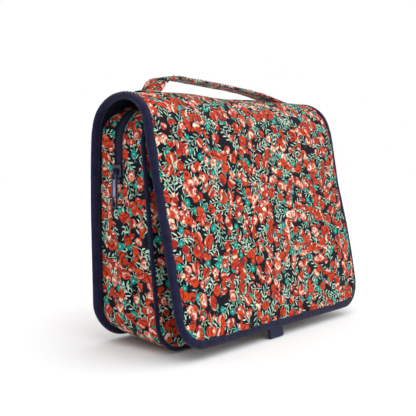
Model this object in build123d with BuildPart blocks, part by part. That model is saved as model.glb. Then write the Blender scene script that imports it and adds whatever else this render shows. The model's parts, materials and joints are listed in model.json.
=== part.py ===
from build123d import *
import os
from math import asin, atan2, cos, degrees, hypot, radians, sin, sqrt

# Hanging toiletry bag, in millimetres. X runs across the width, +Y to the back panel, +Z up.
# The origin is under the middle of the closed bag, on the surface that it stands on.
# One padded cover makes the back, the arched top and the flap; a zipped pouch hangs inside it.

# ---- the whole bag
WIDTH = 255.0            # over the edge bindings
DEPTH = 104.4            # back binding to the flap's lower edge, flap hanging
RIDGE_HEIGHT = 209.0     # top of the arched cover cloth
ARCH_RADIUS = 32.0       # outer cloth of the arch
FLAP_LIFT = 8.5          # flap's lower edge above the standing surface
FOLD_ANGLE = 150.0       # where the flap starts, round the arch from the back
FOLD_GAP = 0.3           # between the cover's end and the flap's end at the fold

# ---- cover layers and edge binding
CLOTH = 0.8
FOAM = 2.2
LINING = 0.6
BINDING = 0.8            # thickness of the tape
BINDING_WIDTH = 6.5
BACK_CORNER = 30.0
FLAP_CORNER = 26.0

# ---- pouch
POUCH_INSET = 7.0        # gusset set in from the cover's side edges
POUCH_DROP = 14.5        # ridge down to the upper edge of the pouch front
POUCH_ARCH_GAP = 3.1     # that edge to the lining of the arch
FLAP_STAND_OFF = 32.4    # front of the flap to the pouch front, at the bottom
POUCH_RISE = 7.5         # the floor of the pouch climbs this much to the back panel
POUCH_TOP_CORNER = 32.0
POUCH_BOTTOM_CORNER = 22.0
POUCH_GAP = 0.2          # pouch piping above the standing surface
GUSSET_CLOTH = 1.2
GUSSET_LINING = 0.8
PIPING_OUT = 1.6         # piping stands out from the gusset
PIPING_PROUD = 1.2       # and forward of the pouch front
PIPING_WIDTH = 4.2

# ---- zip, running round the sides and top of the gusset
ZIP_SETBACK = 20.8       # cover lining to the middle of the zip
ZIP_WINDOW_CLEAR = 0.5   # slider to the cloth on each side of it
ZIP_TAPE_WIDTH = 26.0
COIL_WIDTH = 1.8         # one half of the coil
COIL_THICKNESS = 1.8
COIL_GAP = 1.2           # between the halves, where the slider's web runs
ZIP_DROP = 73.5          # pouch's upper edge down to the ends of the zip
SEAM_BAND_WIDTH = 12.0
SEAM_BAND_THICKNESS = 0.9
STOP_LENGTH = 3.0
STOP_THICKNESS = 2.4

# ---- slider and pull
SLIDER_PARK = 10.0       # seam band to the middle of the slider at rest
SLIDER_LENGTH = 11.0
SLIDER_WIDTH = 9.0
SLIDER_PLATE = 2.4
SLIDER_BACK_PLATE = 1.6
SLIDER_WEB = 0.6
SLIDER_STANDING = 2.0    # slider face beyond the gusset cloth
CROWN_WALL = 1.2         # round the pull's bar
PULL_BAR = 1.0           # radius of the bar
PULL_LIFT = 1.1          # slider face to the bar
PULL_LENGTH = 30.5
PULL_WIDTH = 5.4
PULL_THICKNESS = 1.6
PULL_RAIL = 1.1
PULL_EYE = 5.5           # length of the window round the crown
PULL_INSERT = 14.0       # length of the web set in the frame
PULL_INSERT_THICKNESS = 0.8
CLEAR = 0.3              # running clearance of the metal and plastic pieces

# ---- handle
STRAP_WIDTH = 25.0
STRAP_THICKNESS = 2.4
STRAP_BACK = 7.0         # strap's middle behind the ridge
STRAP_LEFT_INSET = 37.0  # cover's side edges to the sewn ends of the strap
STRAP_RIGHT_INSET = 23.5
STRAP_RISE = 14.2        # highest point of the strap's middle line above the ridge
STRAP_LEFT_END = 20.0    # lengths of the ends that stay sewn down while the span lifts
STRAP_RIGHT_END = 44.0
STRAP_BEND = 14.0

# ---- lifting tab and hanging hook on the flap
TAB_MIDDLE = -10.4
TAB_WIDTH = 18.4
TAB_LENGTH = 7.0
TAB_THICKNESS = 4.0
TAB_LEAF = 1.4
HOOK_PATCH = 30.0
HOOK_PATCH_THICKNESS = 1.2
HOOK_HEIGHT = 24.0       # hook's swivel above the flap's lower edge
POST_FLANGE = 7.0
POST_FLANGE_THICKNESS = 0.8
POST_RADIUS = 4.0
POST_CAP = 6.5
POST_CAP_THICKNESS = 1.4
HOOK_THICKNESS = 4.0
HOOK_EYE = 9.0
HOOK_REACH = 38.0        # swivel to the middle of the hook's bend
HOOK_INNER = 12.0
HOOK_WIDTH = 6.5
HOOK_TURN = 280.0        # degrees of bend
HOOK_SHANK = 8.0

# ---- places worked out from the sizes
WALL = CLOTH + FOAM + LINING
BACK_Y = DEPTH / 2 - BINDING
INNER_Y = BACK_Y - WALL
ARCH_Y = BACK_Y - ARCH_RADIUS
ARCH_Z = RIDGE_HEIGHT - ARCH_RADIUS
ARCH_INNER = ARCH_RADIUS - WALL
FAR = WIDTH + DEPTH      # longer than any cut needs

# The flap hangs as the tangent from the arch's outer binding to its lower front edge.
reach_y = ARCH_Y + DEPTH / 2
reach_z = ARCH_Z - FLAP_LIFT
reach = hypot(reach_y, reach_z)
LEAN = atan2(reach_y, reach_z) - asin((ARCH_RADIUS + BINDING) / reach)
FLAP_LENGTH = reach * cos(asin((ARCH_RADIUS + BINDING) / reach))
FLAP_PLANE = Plane(
    origin=(0, -DEPTH / 2 + BINDING * cos(LEAN), FLAP_LIFT - BINDING * sin(LEAN)),
    x_dir=(1, 0, 0),
    z_dir=(0, -cos(LEAN), sin(LEAN)),
)

# The pouch front leans back; the pouch floor and top climb towards the back panel.
POUCH_WIDTH = WIDTH - 2 * POUCH_INSET
POUCH_TOP = RIDGE_HEIGHT - POUCH_DROP
POUCH_DEPTH_FOOT = INNER_Y + DEPTH / 2 - FLAP_STAND_OFF
POUCH_DEPTH_TOP = ARCH_INNER + sqrt((ARCH_INNER - POUCH_ARCH_GAP) ** 2 - (POUCH_TOP - ARCH_Z) ** 2)
FLOOR_Z = PIPING_OUT + POUCH_GAP
FOOT_Y = INNER_Y - POUCH_DEPTH_FOOT
FRONT_LEAN = atan2(POUCH_DEPTH_FOOT - POUCH_DEPTH_TOP, POUCH_TOP - FLOOR_Z)
CLIMB = POUCH_RISE / POUCH_DEPTH_FOOT
POUCH_START = 20.0       # the pouch blocks start this far in front of the pouch
POUCH_PLANE = Plane(
    origin=(0, FOOT_Y - POUCH_START, FLOOR_Z - POUCH_START * CLIMB),
    x_dir=(1, 0, 0),
    z_dir=(0, -1, 0),
)
POUCH_HEIGHT = POUCH_TOP - FLOOR_Z - (POUCH_DEPTH_FOOT - POUCH_DEPTH_TOP) * CLIMB
POUCH_SIDE = POUCH_WIDTH / 2
GUSSET = GUSSET_CLOTH + GUSSET_LINING

ZIP_Y = INNER_Y - ZIP_SETBACK
ZIP_WINDOW = SLIDER_WIDTH + 2 * ZIP_WINDOW_CLEAR
ZIP_END_HEIGHT = POUCH_TOP - ZIP_DROP
ZIP_START = ZIP_END_HEIGHT + SEAM_BAND_WIDTH
SLIDER_HEIGHT = ZIP_START + SLIDER_PARK
SEAM_Z = ZIP_END_HEIGHT + SEAM_BAND_WIDTH / 2
TAPE_FRONT_EDGE = ZIP_Y - ZIP_TAPE_WIDTH / 2
COIL_DEPTH = GUSSET_CLOTH + GUSSET_LINING / 2 - COIL_THICKNESS / 2
SLIDER_PLANE = Plane(
    origin=(-POUCH_SIDE, ZIP_Y, SLIDER_HEIGHT), x_dir=(0, -1, 0), z_dir=(-1, 0, 0)
)
PULL_AXIS = SLIDER_STANDING + PULL_LIFT + PULL_BAR
PULL_WINDOW = PULL_WIDTH - 2 * PULL_RAIL
CROWN_WIDTH = PULL_WINDOW - 2 * CLEAR
CROWN_RADIUS = PULL_BAR + CLEAR + CROWN_WALL

STRAP_Y = ARCH_Y + STRAP_BACK
STRAP_LEFT = STRAP_LEFT_INSET - WIDTH / 2
STRAP_RIGHT = WIDTH / 2 - STRAP_RIGHT_INSET
STRAP_LEFT_CUT = STRAP_LEFT + STRAP_LEFT_END
STRAP_RIGHT_CUT = STRAP_RIGHT - STRAP_RIGHT_END


def cover_profile(outer, inner):
    """Side view of the back and arch, between two depths below the outer cloth."""
    with BuildSketch(Plane.YZ) as profile:
        with BuildLine():
            over = CenterArc((ARCH_Y, ARCH_Z), ARCH_RADIUS - outer, 0, FOLD_ANGLE)
            under = CenterArc((ARCH_Y, ARCH_Z), ARCH_RADIUS - inner, 0, FOLD_ANGLE)
            Polyline(over @ 0, (BACK_Y - outer, 0), (BACK_Y - inner, 0), under @ 0)
            Line(over @ 1, under @ 1)
        make_face()
    return profile.sketch


def flap_profile(outer, inner):
    """Side view of the hanging flap, between two depths below the outer cloth."""
    first = FOLD_ANGLE + degrees(FOLD_GAP / ARCH_RADIUS)
    turn = 180 - degrees(LEAN) - first
    with BuildSketch(Plane.YZ) as profile:
        with BuildLine():
            over = CenterArc((ARCH_Y, ARCH_Z), ARCH_RADIUS - outer, first, turn)
            under = CenterArc((ARCH_Y, ARCH_Z), ARCH_RADIUS - inner, first, turn)
            over_line = PolarLine(over @ 1, FLAP_LENGTH, 270 - degrees(LEAN))
            under_line = PolarLine(under @ 1, FLAP_LENGTH, 270 - degrees(LEAN))
            Line(over_line @ 1, under_line @ 1)
            Line(over @ 0, under @ 0)
        make_face()
    return profile.sketch


def edge_outline(plane, inset, corner):
    """Panel outline with rounded lower corners, standing on the plane's X axis."""
    half = WIDTH / 2 - inset
    radius = corner - inset
    with BuildSketch(plane) as outline:
        Rectangle(2 * half, FAR - inset, align=(Align.CENTER, Align.MIN))
        fillet(outline.vertices().group_by(Axis.Y)[0], radius)
    return outline.sketch.moved(Location(plane.y_dir * inset))


def cover_piece(outer, inner, inset):
    """One layer of the back and arch, cut to the rounded outline."""
    extrude(cover_profile(outer, inner), amount=WIDTH, both=True)
    outline = edge_outline(Plane.XZ, inset, BACK_CORNER)
    extrude(outline, amount=DEPTH, both=True, mode=Mode.INTERSECT)


def flap_piece(outer, inner, inset):
    """One layer of the flap, cut to the rounded outline."""
    extrude(flap_profile(outer, inner), amount=WIDTH, both=True)
    outline = edge_outline(FLAP_PLANE, inset, FLAP_CORNER)
    extrude(outline, amount=DEPTH, both=True, mode=Mode.INTERSECT)


def pouch_block(inset, mode=Mode.ADD):
    """Solid block of the pouch's front outline, climbing to the back."""
    with BuildSketch(POUCH_PLANE) as outline:
        with Locations((0, POUCH_HEIGHT / 2)):
            Rectangle(POUCH_WIDTH - 2 * inset, POUCH_HEIGHT - 2 * inset)
        fillet(outline.vertices().group_by(Axis.Y)[-1], POUCH_TOP_CORNER - inset)
        fillet(outline.vertices().group_by(Axis.Y)[0], POUCH_BOTTOM_CORNER - inset)
    extrude(outline.sketch, amount=FAR, dir=(0, 1, CLIMB), mode=mode)


def front_point(depth, height):
    """Side-view point at a depth behind the pouch front and a height along it."""
    foot = Vector(FOOT_Y, FLOOR_Z)
    along = Vector(sin(FRONT_LEAN), cos(FRONT_LEAN)) * height
    inward = Vector(cos(FRONT_LEAN), -sin(FRONT_LEAN)) * depth
    return foot + along + inward


def keep_slab(outer, inner):
    """Keeps what lies between two depths behind the pouch front."""
    with BuildSketch(Plane.YZ) as slab:
        with BuildLine():
            Polyline(
                front_point(outer, -RIDGE_HEIGHT),
                front_point(outer, 2 * RIDGE_HEIGHT),
                front_point(inner, 2 * RIDGE_HEIGHT),
                front_point(inner, -RIDGE_HEIGHT),
                close=True,
            )
        make_face()
    extrude(slab.sketch, amount=WIDTH, both=True, mode=Mode.INTERSECT)


def keep_inside(front_depth):
    """Keeps what lies behind a depth of the pouch front and inside the cover lining."""
    with BuildSketch(Plane.YZ) as inside:
        with BuildLine():
            bend = CenterArc((ARCH_Y, ARCH_Z), ARCH_INNER, 0, 90)
            Polyline(
                bend @ 1,
                (-DEPTH, RIDGE_HEIGHT - WALL),
                (-DEPTH, -RIDGE_HEIGHT),
                (INNER_Y, -RIDGE_HEIGHT),
                bend @ 0,
            )
        make_face()
    extrude(inside.sketch, amount=WIDTH, both=True, mode=Mode.INTERSECT)
    keep_slab(front_depth, FAR)


def keep_band(y_from, y_to, z_from, z_to):
    """Keeps what lies in one rectangle of the side view."""
    with BuildSketch(Plane.YZ) as band:
        with Locations(((y_from + y_to) / 2, (z_from + z_to) / 2)):
            Rectangle(y_to - y_from, z_to - z_from)
    extrude(band.sketch, amount=WIDTH, both=True, mode=Mode.INTERSECT)


def gusset_piece(outer, inner, front_depth=0):
    """A hollow ring of the pouch outline between two depths below the gusset cloth."""
    pouch_block(outer)
    pouch_block(inner, mode=Mode.SUBTRACT)
    keep_inside(front_depth)


def save(piece, label):
    """Names a finished piece and writes it."""
    piece.part.label = label
    export_step(piece.part, f"parts/{label}.step")


os.makedirs("parts", exist_ok=True)

# ---- cover: back and arch, in three layers with a bound edge
LAYERS = {"panel": (0, CLOTH), "foam": (CLOTH, CLOTH + FOAM), "lining": (CLOTH + FOAM, WALL)}
for layer, (outer, inner) in LAYERS.items():
    with BuildPart() as back_layer:
        cover_piece(outer, inner, BINDING)
    save(back_layer, f"back_{layer}")
    with BuildPart() as flap_layer:
        flap_piece(outer, inner, BINDING)
    save(flap_layer, f"flap_{layer}")

with BuildPart() as back_core:
    cover_piece(0, WALL, BINDING)
with BuildPart() as back_middle:
    cover_piece(-2 * BINDING, WALL + 2 * BINDING, BINDING_WIDTH)
with BuildPart() as back_binding:
    cover_piece(-BINDING, WALL + BINDING, 0)
    add(back_middle.part, mode=Mode.SUBTRACT)
    add(back_core.part, mode=Mode.SUBTRACT)
save(back_binding, "back_binding")

with BuildPart() as flap_core:
    flap_piece(0, WALL, BINDING)
with BuildPart() as flap_middle:
    flap_piece(-2 * BINDING, WALL + 2 * BINDING, BINDING_WIDTH)
with BuildPart() as flap_binding:
    flap_piece(-BINDING, WALL + BINDING, 0)
    add(flap_middle.part, mode=Mode.SUBTRACT)
    add(flap_core.part, mode=Mode.SUBTRACT)
save(flap_binding, "flap_binding")

# ---- pouch front, set inside the gusset, in the same three layers
for layer, (outer, inner) in LAYERS.items():
    with BuildPart() as front_layer:
        pouch_block(GUSSET)
        keep_slab(outer, inner)
    save(front_layer, f"front_{layer}")

with BuildPart() as front_piping:
    pouch_block(-PIPING_OUT)
    pouch_block(0, mode=Mode.SUBTRACT)
    keep_slab(-PIPING_PROUD, PIPING_WIDTH - PIPING_PROUD)
save(front_piping, "front_piping")

# ---- gusset: one lower strip, and two strips beside the zip over the sides and top
with BuildPart() as gusset_lower:
    gusset_piece(0, GUSSET_CLOTH)
    keep_band(-FAR, FAR, -FAR, SEAM_Z)
save(gusset_lower, "gusset_lower")

with BuildPart() as gusset_top_front:
    gusset_piece(0, GUSSET_CLOTH)
    keep_band(-FAR, ZIP_Y - ZIP_WINDOW / 2, SEAM_Z, FAR)
save(gusset_top_front, "gusset_top_front")

with BuildPart() as gusset_top_rear:
    gusset_piece(0, GUSSET_CLOTH)
    keep_band(ZIP_Y + ZIP_WINDOW / 2, FAR, SEAM_Z, FAR)
save(gusset_top_rear, "gusset_top_rear")

with BuildPart() as gusset_lining:
    gusset_piece(GUSSET_CLOTH, GUSSET)
    with BuildSketch(Plane.YZ):
        with Locations((TAPE_FRONT_EDGE, ZIP_END_HEIGHT)):
            Rectangle(FAR, FAR, align=(Align.MIN, Align.MIN))
    extrude(amount=WIDTH, both=True, mode=Mode.SUBTRACT)
save(gusset_lining, "gusset_lining")

with BuildPart() as zip_end_bands:
    gusset_piece(-SEAM_BAND_THICKNESS, 0, PIPING_WIDTH)
    keep_band(-FAR, INNER_Y - BINDING - POUCH_GAP, ZIP_END_HEIGHT, ZIP_START)
save(zip_end_bands, "zip_end_bands")

# ---- zip: two tapes, two coil halves and a stop at each end
TAPE_INNER = COIL_GAP / 2 + COIL_WIDTH
with BuildPart() as zip_tape_front:
    gusset_piece(GUSSET_CLOTH, GUSSET)
    keep_band(TAPE_FRONT_EDGE, ZIP_Y - TAPE_INNER, ZIP_END_HEIGHT, FAR)
save(zip_tape_front, "zip_tape_front")

with BuildPart() as zip_tape_rear:
    gusset_piece(GUSSET_CLOTH, GUSSET)
    keep_band(ZIP_Y + TAPE_INNER, FAR, ZIP_END_HEIGHT, FAR)
save(zip_tape_rear, "zip_tape_rear")

COIL_START = ZIP_START + STOP_LENGTH + 2 * CLEAR
for side, first in (("front", -TAPE_INNER), ("rear", COIL_GAP / 2)):
    with BuildPart() as zip_coil:
        gusset_piece(COIL_DEPTH, COIL_DEPTH + COIL_THICKNESS)
        keep_band(ZIP_Y + first, ZIP_Y + first + COIL_WIDTH, COIL_START, FAR)
    save(zip_coil, f"zip_coil_{side}")

STOP_DEPTH = COIL_DEPTH - CLEAR
with BuildPart() as zip_stops:
    gusset_piece(STOP_DEPTH, STOP_DEPTH + STOP_THICKNESS)
    keep_band(
        ZIP_Y - TAPE_INNER, ZIP_Y + TAPE_INNER, ZIP_START + CLEAR, ZIP_START + CLEAR + STOP_LENGTH
    )
save(zip_stops, "zip_stops")

# ---- slider: face plate and back plate joined by a web between the coil halves, and a crown
FACE_DEPTH = SLIDER_STANDING - SLIDER_PLATE
BACK_DEPTH = -(COIL_DEPTH + COIL_THICKNESS + CLEAR)
with BuildPart() as zip_slider:
    with BuildSketch(SLIDER_PLANE.offset(FACE_DEPTH)):
        RectangleRounded(SLIDER_WIDTH, SLIDER_LENGTH, SLIDER_WIDTH / 4)
    extrude(amount=SLIDER_PLATE)
    chamfer(zip_slider.faces().sort_by(Axis.X)[0].edges(), SLIDER_PLATE / 4)
    with BuildSketch(SLIDER_PLANE.offset(BACK_DEPTH)):
        RectangleRounded(SLIDER_WIDTH - 2 * CLEAR, SLIDER_LENGTH - 2 * CLEAR, SLIDER_WIDTH / 4)
    extrude(amount=-SLIDER_BACK_PLATE)
    with BuildSketch(SLIDER_PLANE.offset(BACK_DEPTH)):
        Rectangle(SLIDER_WEB, SLIDER_LENGTH - 4 * CLEAR)
    extrude(amount=FACE_DEPTH - BACK_DEPTH)
    with BuildSketch(Plane.XZ.offset(-ZIP_Y)):
        with Locations((-POUCH_SIDE - PULL_AXIS, SLIDER_HEIGHT)):
            Circle(CROWN_RADIUS)
            Rectangle(PULL_AXIS - SLIDER_STANDING, 2 * CROWN_RADIUS, align=(Align.MIN, Align.CENTER))
            Circle(PULL_BAR + CLEAR, mode=Mode.SUBTRACT)
    extrude(amount=CROWN_WIDTH / 2, both=True)
save(zip_slider, "zip_slider")

# ---- pull: a long frame with a bar through the crown, a web and an open slot below it
INSERT_TOP = -PULL_BAR - PULL_EYE
SLOT_TOP = INSERT_TOP - PULL_INSERT
SLOT_BOTTOM = PULL_BAR + PULL_RAIL - PULL_LENGTH
with BuildPart() as zip_pull:
    with BuildSketch(SLIDER_PLANE.offset(PULL_AXIS - PULL_THICKNESS / 2)):
        with Locations((0, PULL_BAR - PULL_LENGTH / 2)):
            RectangleRounded(PULL_WIDTH, PULL_LENGTH, PULL_BAR * 0.9)
        for top, bottom in ((-PULL_BAR, INSERT_TOP), (INSERT_TOP, SLOT_TOP), (SLOT_TOP, SLOT_BOTTOM)):
            with Locations((0, (top + bottom) / 2)):
                Rectangle(PULL_WINDOW, top - bottom, mode=Mode.SUBTRACT)
        Rectangle(PULL_WINDOW, 2 * PULL_BAR, mode=Mode.SUBTRACT)
    extrude(amount=PULL_THICKNESS)
    with BuildSketch(Plane.XZ.offset(-ZIP_Y)):
        with Locations((-POUCH_SIDE - PULL_AXIS, SLIDER_HEIGHT)):
            Circle(PULL_BAR)
    extrude(amount=PULL_WIDTH / 2, both=True)
save(zip_pull, "zip_pull")

with BuildPart() as pull_insert:
    with BuildSketch(SLIDER_PLANE.offset(PULL_AXIS - PULL_INSERT_THICKNESS / 2)):
        with Locations((0, (INSERT_TOP + SLOT_TOP) / 2)):
            Rectangle(PULL_WINDOW, PULL_INSERT)
    extrude(amount=PULL_INSERT_THICKNESS)
save(pull_insert, "pull_insert")

# ---- handle: one strap along the ridge, steep at the left and sagging to the right
STRAP_POINTS = [
    (STRAP_LEFT, RIDGE_HEIGHT - STRAP_THICKNESS),
    (STRAP_LEFT + 11, RIDGE_HEIGHT + 0.62 * STRAP_RISE),
    (STRAP_LEFT_CUT + 6, RIDGE_HEIGHT + 0.95 * STRAP_RISE),
    (STRAP_LEFT_CUT + 32, RIDGE_HEIGHT + STRAP_RISE),
    (STRAP_RIGHT_CUT - 56, RIDGE_HEIGHT + 0.93 * STRAP_RISE),
    (STRAP_RIGHT_CUT - 8, RIDGE_HEIGHT + 0.7 * STRAP_RISE),
    (STRAP_RIGHT, RIDGE_HEIGHT - STRAP_THICKNESS / 2),
]


def strap_piece():
    """The whole strap, standing on the arch."""
    with BuildSketch(Plane.XZ.offset(-STRAP_Y)) as ribbon:
        with BuildLine() as middle_line:
            FilletPolyline(*STRAP_POINTS, radius=STRAP_BEND)
        trace(middle_line.line, STRAP_THICKNESS)
    extrude(ribbon.sketch, amount=STRAP_WIDTH / 2, both=True)
    with BuildSketch(Plane.YZ) as arch:
        with Locations((ARCH_Y, ARCH_Z)):
            Circle(ARCH_RADIUS)
    extrude(arch.sketch, amount=WIDTH, both=True, mode=Mode.SUBTRACT)


with BuildPart() as handle_strap:
    strap_piece()
    with BuildSketch(Plane.XY):
        with Locations(((STRAP_LEFT_CUT + STRAP_RIGHT_CUT) / 2, 0)):
            Rectangle(STRAP_RIGHT_CUT - STRAP_LEFT_CUT, FAR)
    extrude(amount=FAR, mode=Mode.INTERSECT)
save(handle_strap, "handle_strap")

with BuildPart() as handle_ends:
    strap_piece()
    with BuildSketch(Plane.XY):
        with Locations(((STRAP_LEFT_CUT + STRAP_RIGHT_CUT) / 2, 0)):
            Rectangle(STRAP_RIGHT_CUT - STRAP_LEFT_CUT, FAR)
    extrude(amount=FAR, mode=Mode.SUBTRACT)
save(handle_ends, "handle_ends")

# ---- lifting tab: a folded loop of tape under the flap's lower edge
TAB_LEAF_GAP = TAB_THICKNESS - 2 * TAB_LEAF
TAB_PLANE = Plane(
    origin=FLAP_PLANE.from_local_coords((TAB_MIDDLE, 0, -WALL / 2)),
    x_dir=(0, sin(LEAN), cos(LEAN)),
    z_dir=(1, 0, 0),
)
with BuildPart() as flap_tab:
    with BuildSketch(TAB_PLANE):
        with Locations((-CLEAR - TAB_LENGTH / 2, 0)):
            SlotOverall(TAB_LENGTH, TAB_THICKNESS)
            SlotOverall(TAB_LENGTH - 2 * TAB_LEAF, TAB_LEAF_GAP, mode=Mode.SUBTRACT)
    extrude(amount=TAB_WIDTH / 2, both=True)
save(flap_tab, "flap_tab")

# ---- hanging hook: it swivels on a post that a cloth patch holds to the flap's lining
PATCH_FACE = -WALL - HOOK_PATCH_THICKNESS
FLANGE_FACE = PATCH_FACE - POST_FLANGE_THICKNESS
CAP_FACE = FLANGE_FACE - HOOK_THICKNESS - 2 * CLEAR
with BuildPart() as hook_patch:
    with BuildSketch(FLAP_PLANE.offset(-WALL)):
        with Locations((0, HOOK_HEIGHT)):
            RectangleRounded(HOOK_PATCH, HOOK_PATCH, HOOK_PATCH / 8)
    extrude(amount=-HOOK_PATCH_THICKNESS)
save(hook_patch, "hook_patch")

with BuildPart() as hook_post:
    for start, radius, thickness in (
        (PATCH_FACE, POST_FLANGE, POST_FLANGE_THICKNESS),
        (FLANGE_FACE, POST_RADIUS, FLANGE_FACE - CAP_FACE),
        (CAP_FACE, POST_CAP, POST_CAP_THICKNESS),
    ):
        with BuildSketch(FLAP_PLANE.offset(start)):
            with Locations((0, HOOK_HEIGHT)):
                Circle(radius)
        extrude(amount=-thickness)
save(hook_post, "hook_post")

with BuildPart() as hanging_hook:
    with BuildSketch(FLAP_PLANE.offset(FLANGE_FACE - CLEAR)):
        with BuildLine() as bend_line:
            CenterArc((0, HOOK_HEIGHT + HOOK_REACH), HOOK_INNER + HOOK_WIDTH / 2, -90, HOOK_TURN)
        trace(bend_line.line, HOOK_WIDTH)
        with Locations((0, HOOK_HEIGHT)):
            Circle(HOOK_EYE)
            Rectangle(
                HOOK_SHANK, HOOK_REACH - HOOK_INNER - HOOK_WIDTH / 2, align=(Align.CENTER, Align.MIN)
            )
            Circle(POST_RADIUS + CLEAR, mode=Mode.SUBTRACT)
        with Locations((bend_line.line @ 1)):
            Circle(HOOK_WIDTH / 2)
    extrude(amount=-HOOK_THICKNESS)
save(hanging_hook, "hanging_hook")

HINGE_RADIUS = ARCH_RADIUS + BINDING
print("flap lean", round(degrees(LEAN), 3), "length", round(FLAP_LENGTH, 3))
print(
    "fold axis",
    round(ARCH_Y + HINGE_RADIUS * cos(radians(FOLD_ANGLE)), 3),
    round(ARCH_Z + HINGE_RADIUS * sin(radians(FOLD_ANGLE)), 3),
)
print("tab axis", TAB_PLANE.from_local_coords((-CLEAR - TAB_THICKNESS / 2, 0, 0)))
print("hook axis", FLAP_PLANE.from_local_coords((0, HOOK_HEIGHT, PATCH_FACE)), FLAP_PLANE.z_dir)
print("pull axis", -POUCH_SIDE - PULL_AXIS, ZIP_Y, SLIDER_HEIGHT)
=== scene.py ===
import json
import math

import bmesh
import bpy
import numpy as np
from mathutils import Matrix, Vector, noise


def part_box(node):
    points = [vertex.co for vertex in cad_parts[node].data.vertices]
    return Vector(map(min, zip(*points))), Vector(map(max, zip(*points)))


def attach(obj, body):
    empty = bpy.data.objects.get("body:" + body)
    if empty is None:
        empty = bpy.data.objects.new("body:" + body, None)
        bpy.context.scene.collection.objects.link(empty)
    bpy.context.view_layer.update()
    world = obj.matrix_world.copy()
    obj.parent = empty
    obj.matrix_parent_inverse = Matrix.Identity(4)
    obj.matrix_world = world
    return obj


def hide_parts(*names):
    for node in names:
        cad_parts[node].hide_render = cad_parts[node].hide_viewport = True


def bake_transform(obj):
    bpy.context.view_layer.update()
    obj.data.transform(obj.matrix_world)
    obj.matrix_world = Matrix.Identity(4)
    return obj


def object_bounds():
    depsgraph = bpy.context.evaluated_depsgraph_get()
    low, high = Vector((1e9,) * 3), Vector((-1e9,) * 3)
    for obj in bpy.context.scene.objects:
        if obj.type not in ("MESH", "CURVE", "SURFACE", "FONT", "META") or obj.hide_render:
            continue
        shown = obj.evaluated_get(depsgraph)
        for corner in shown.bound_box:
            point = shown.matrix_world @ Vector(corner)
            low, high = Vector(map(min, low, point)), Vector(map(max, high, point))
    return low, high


# Hanging toiletry bag: padded printed cover with bound edges, zipped pouch, handle and hook.
# Metres throughout; X across the width, +Y to the back panel, +Z up.
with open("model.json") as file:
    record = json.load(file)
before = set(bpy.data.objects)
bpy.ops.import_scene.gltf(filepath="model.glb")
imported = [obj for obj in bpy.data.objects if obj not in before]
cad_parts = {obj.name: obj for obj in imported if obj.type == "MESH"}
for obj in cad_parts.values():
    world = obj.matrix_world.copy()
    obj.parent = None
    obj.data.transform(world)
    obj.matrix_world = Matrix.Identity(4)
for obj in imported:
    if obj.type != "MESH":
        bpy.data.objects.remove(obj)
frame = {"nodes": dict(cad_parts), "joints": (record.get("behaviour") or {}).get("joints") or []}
CAD_LOW, CAD_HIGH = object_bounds()
MM = 0.001


def joint(name):
    return next(j for j in frame["joints"] if j["name"] == name)


# ---- sizes read from the frame
PANEL_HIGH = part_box("back_panel")[1]
BIND_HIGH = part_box("back_binding")[1]
FRONT_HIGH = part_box("front_panel")[1]
GUSSET_LOW, GUSSET_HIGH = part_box("gusset_lower")
BAND_LOW, BAND_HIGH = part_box("zip_end_bands")
COIL_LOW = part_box("zip_coil_front")[0]
SLIDER_LOW, SLIDER_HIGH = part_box("zip_slider")
TAB_LOW, TAB_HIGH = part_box("flap_tab")
STRAP_LOW, STRAP_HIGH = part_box("handle_strap")
ENDS_LOW, ENDS_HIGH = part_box("handle_ends")

HALF_WIDTH = BIND_HIGH.x
BINDING = BIND_HIGH.y - PANEL_HIGH.y
BACK_Y = PANEL_HIGH.y
INNER_Y = GUSSET_HIGH.y
WALL = BACK_Y - INNER_Y
RIDGE_Z = PANEL_HIGH.z
FLAP_NORMAL = Vector(joint("hook_swivel")["axis"]).normalized()
LEAN = math.asin(FLAP_NORMAL.z)

# ---- sizes of the sewing, the same as the pattern pieces
ARCH_RADIUS = 32 * MM
BINDING_WIDTH = 6.5 * MM
LEAST_PADDING = 1.5 * MM     # lining to outer cloth, where the pad is pressed thin
FLAP_CORNER = 26 * MM
BACK_CORNER = 30 * MM
POUCH_TOP_CORNER = 32 * MM
POUCH_BOTTOM_CORNER = 22 * MM
POUCH_CLIMB = 7.5 * MM / (GUSSET_HIGH.y - GUSSET_LOW.y)
POUCH_LEAN = math.radians(6.20)   # pouch front, leaning back
ZIP_Y = (SLIDER_LOW.y + SLIDER_HIGH.y) / 2
ZIP_HALF_WINDOW = 5 * MM
CLOTH_STEP = 6 * MM          # grid of the padded pieces
STITCH = 2.6 * MM
STITCH_GAP = 1.2 * MM
THREAD = 0.28 * MM

ARCH_Y = BACK_Y - ARCH_RADIUS
ARCH_Z = RIDGE_Z - ARCH_RADIUS
FLAP_FOOT_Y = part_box("flap_binding")[0].y
HINGE_RADIUS = ARCH_RADIUS + BINDING
reach_y = ARCH_Y - FLAP_FOOT_Y
FLAP_LENGTH = (reach_y - HINGE_RADIUS * math.cos(LEAN)) / math.sin(LEAN)
ARCH_TURN = math.pi - LEAN
ARCH_LENGTH = ARCH_RADIUS * ARCH_TURN
SEAM_ANGLE = math.radians(22)     # back seam, where the back meets the arch
SEAM_S = FLAP_LENGTH + ARCH_RADIUS * (ARCH_TURN - SEAM_ANGLE)
SEAM_LAP = 3 * MM            # the front piece goes on under the back piece this far
COVER_LENGTH = FLAP_LENGTH + ARCH_LENGTH + ARCH_Z

POUCH_HALF = GUSSET_HIGH.x
FLOOR_Z = GUSSET_LOW.z
FOOT_Y = GUSSET_LOW.y
POUCH_HEIGHT = FRONT_HIGH.z + 2 * MM - FLOOR_Z - (FRONT_HIGH.y - FOOT_Y) * POUCH_CLIMB
SEAM_Z = (BAND_LOW.z + BAND_HIGH.z) / 2


# ---------------------------------------------------------------- small maths
def ease(t):
    t = min(max(t, 0.0), 1.0)
    return t * t * (3 - 2 * t)


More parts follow.
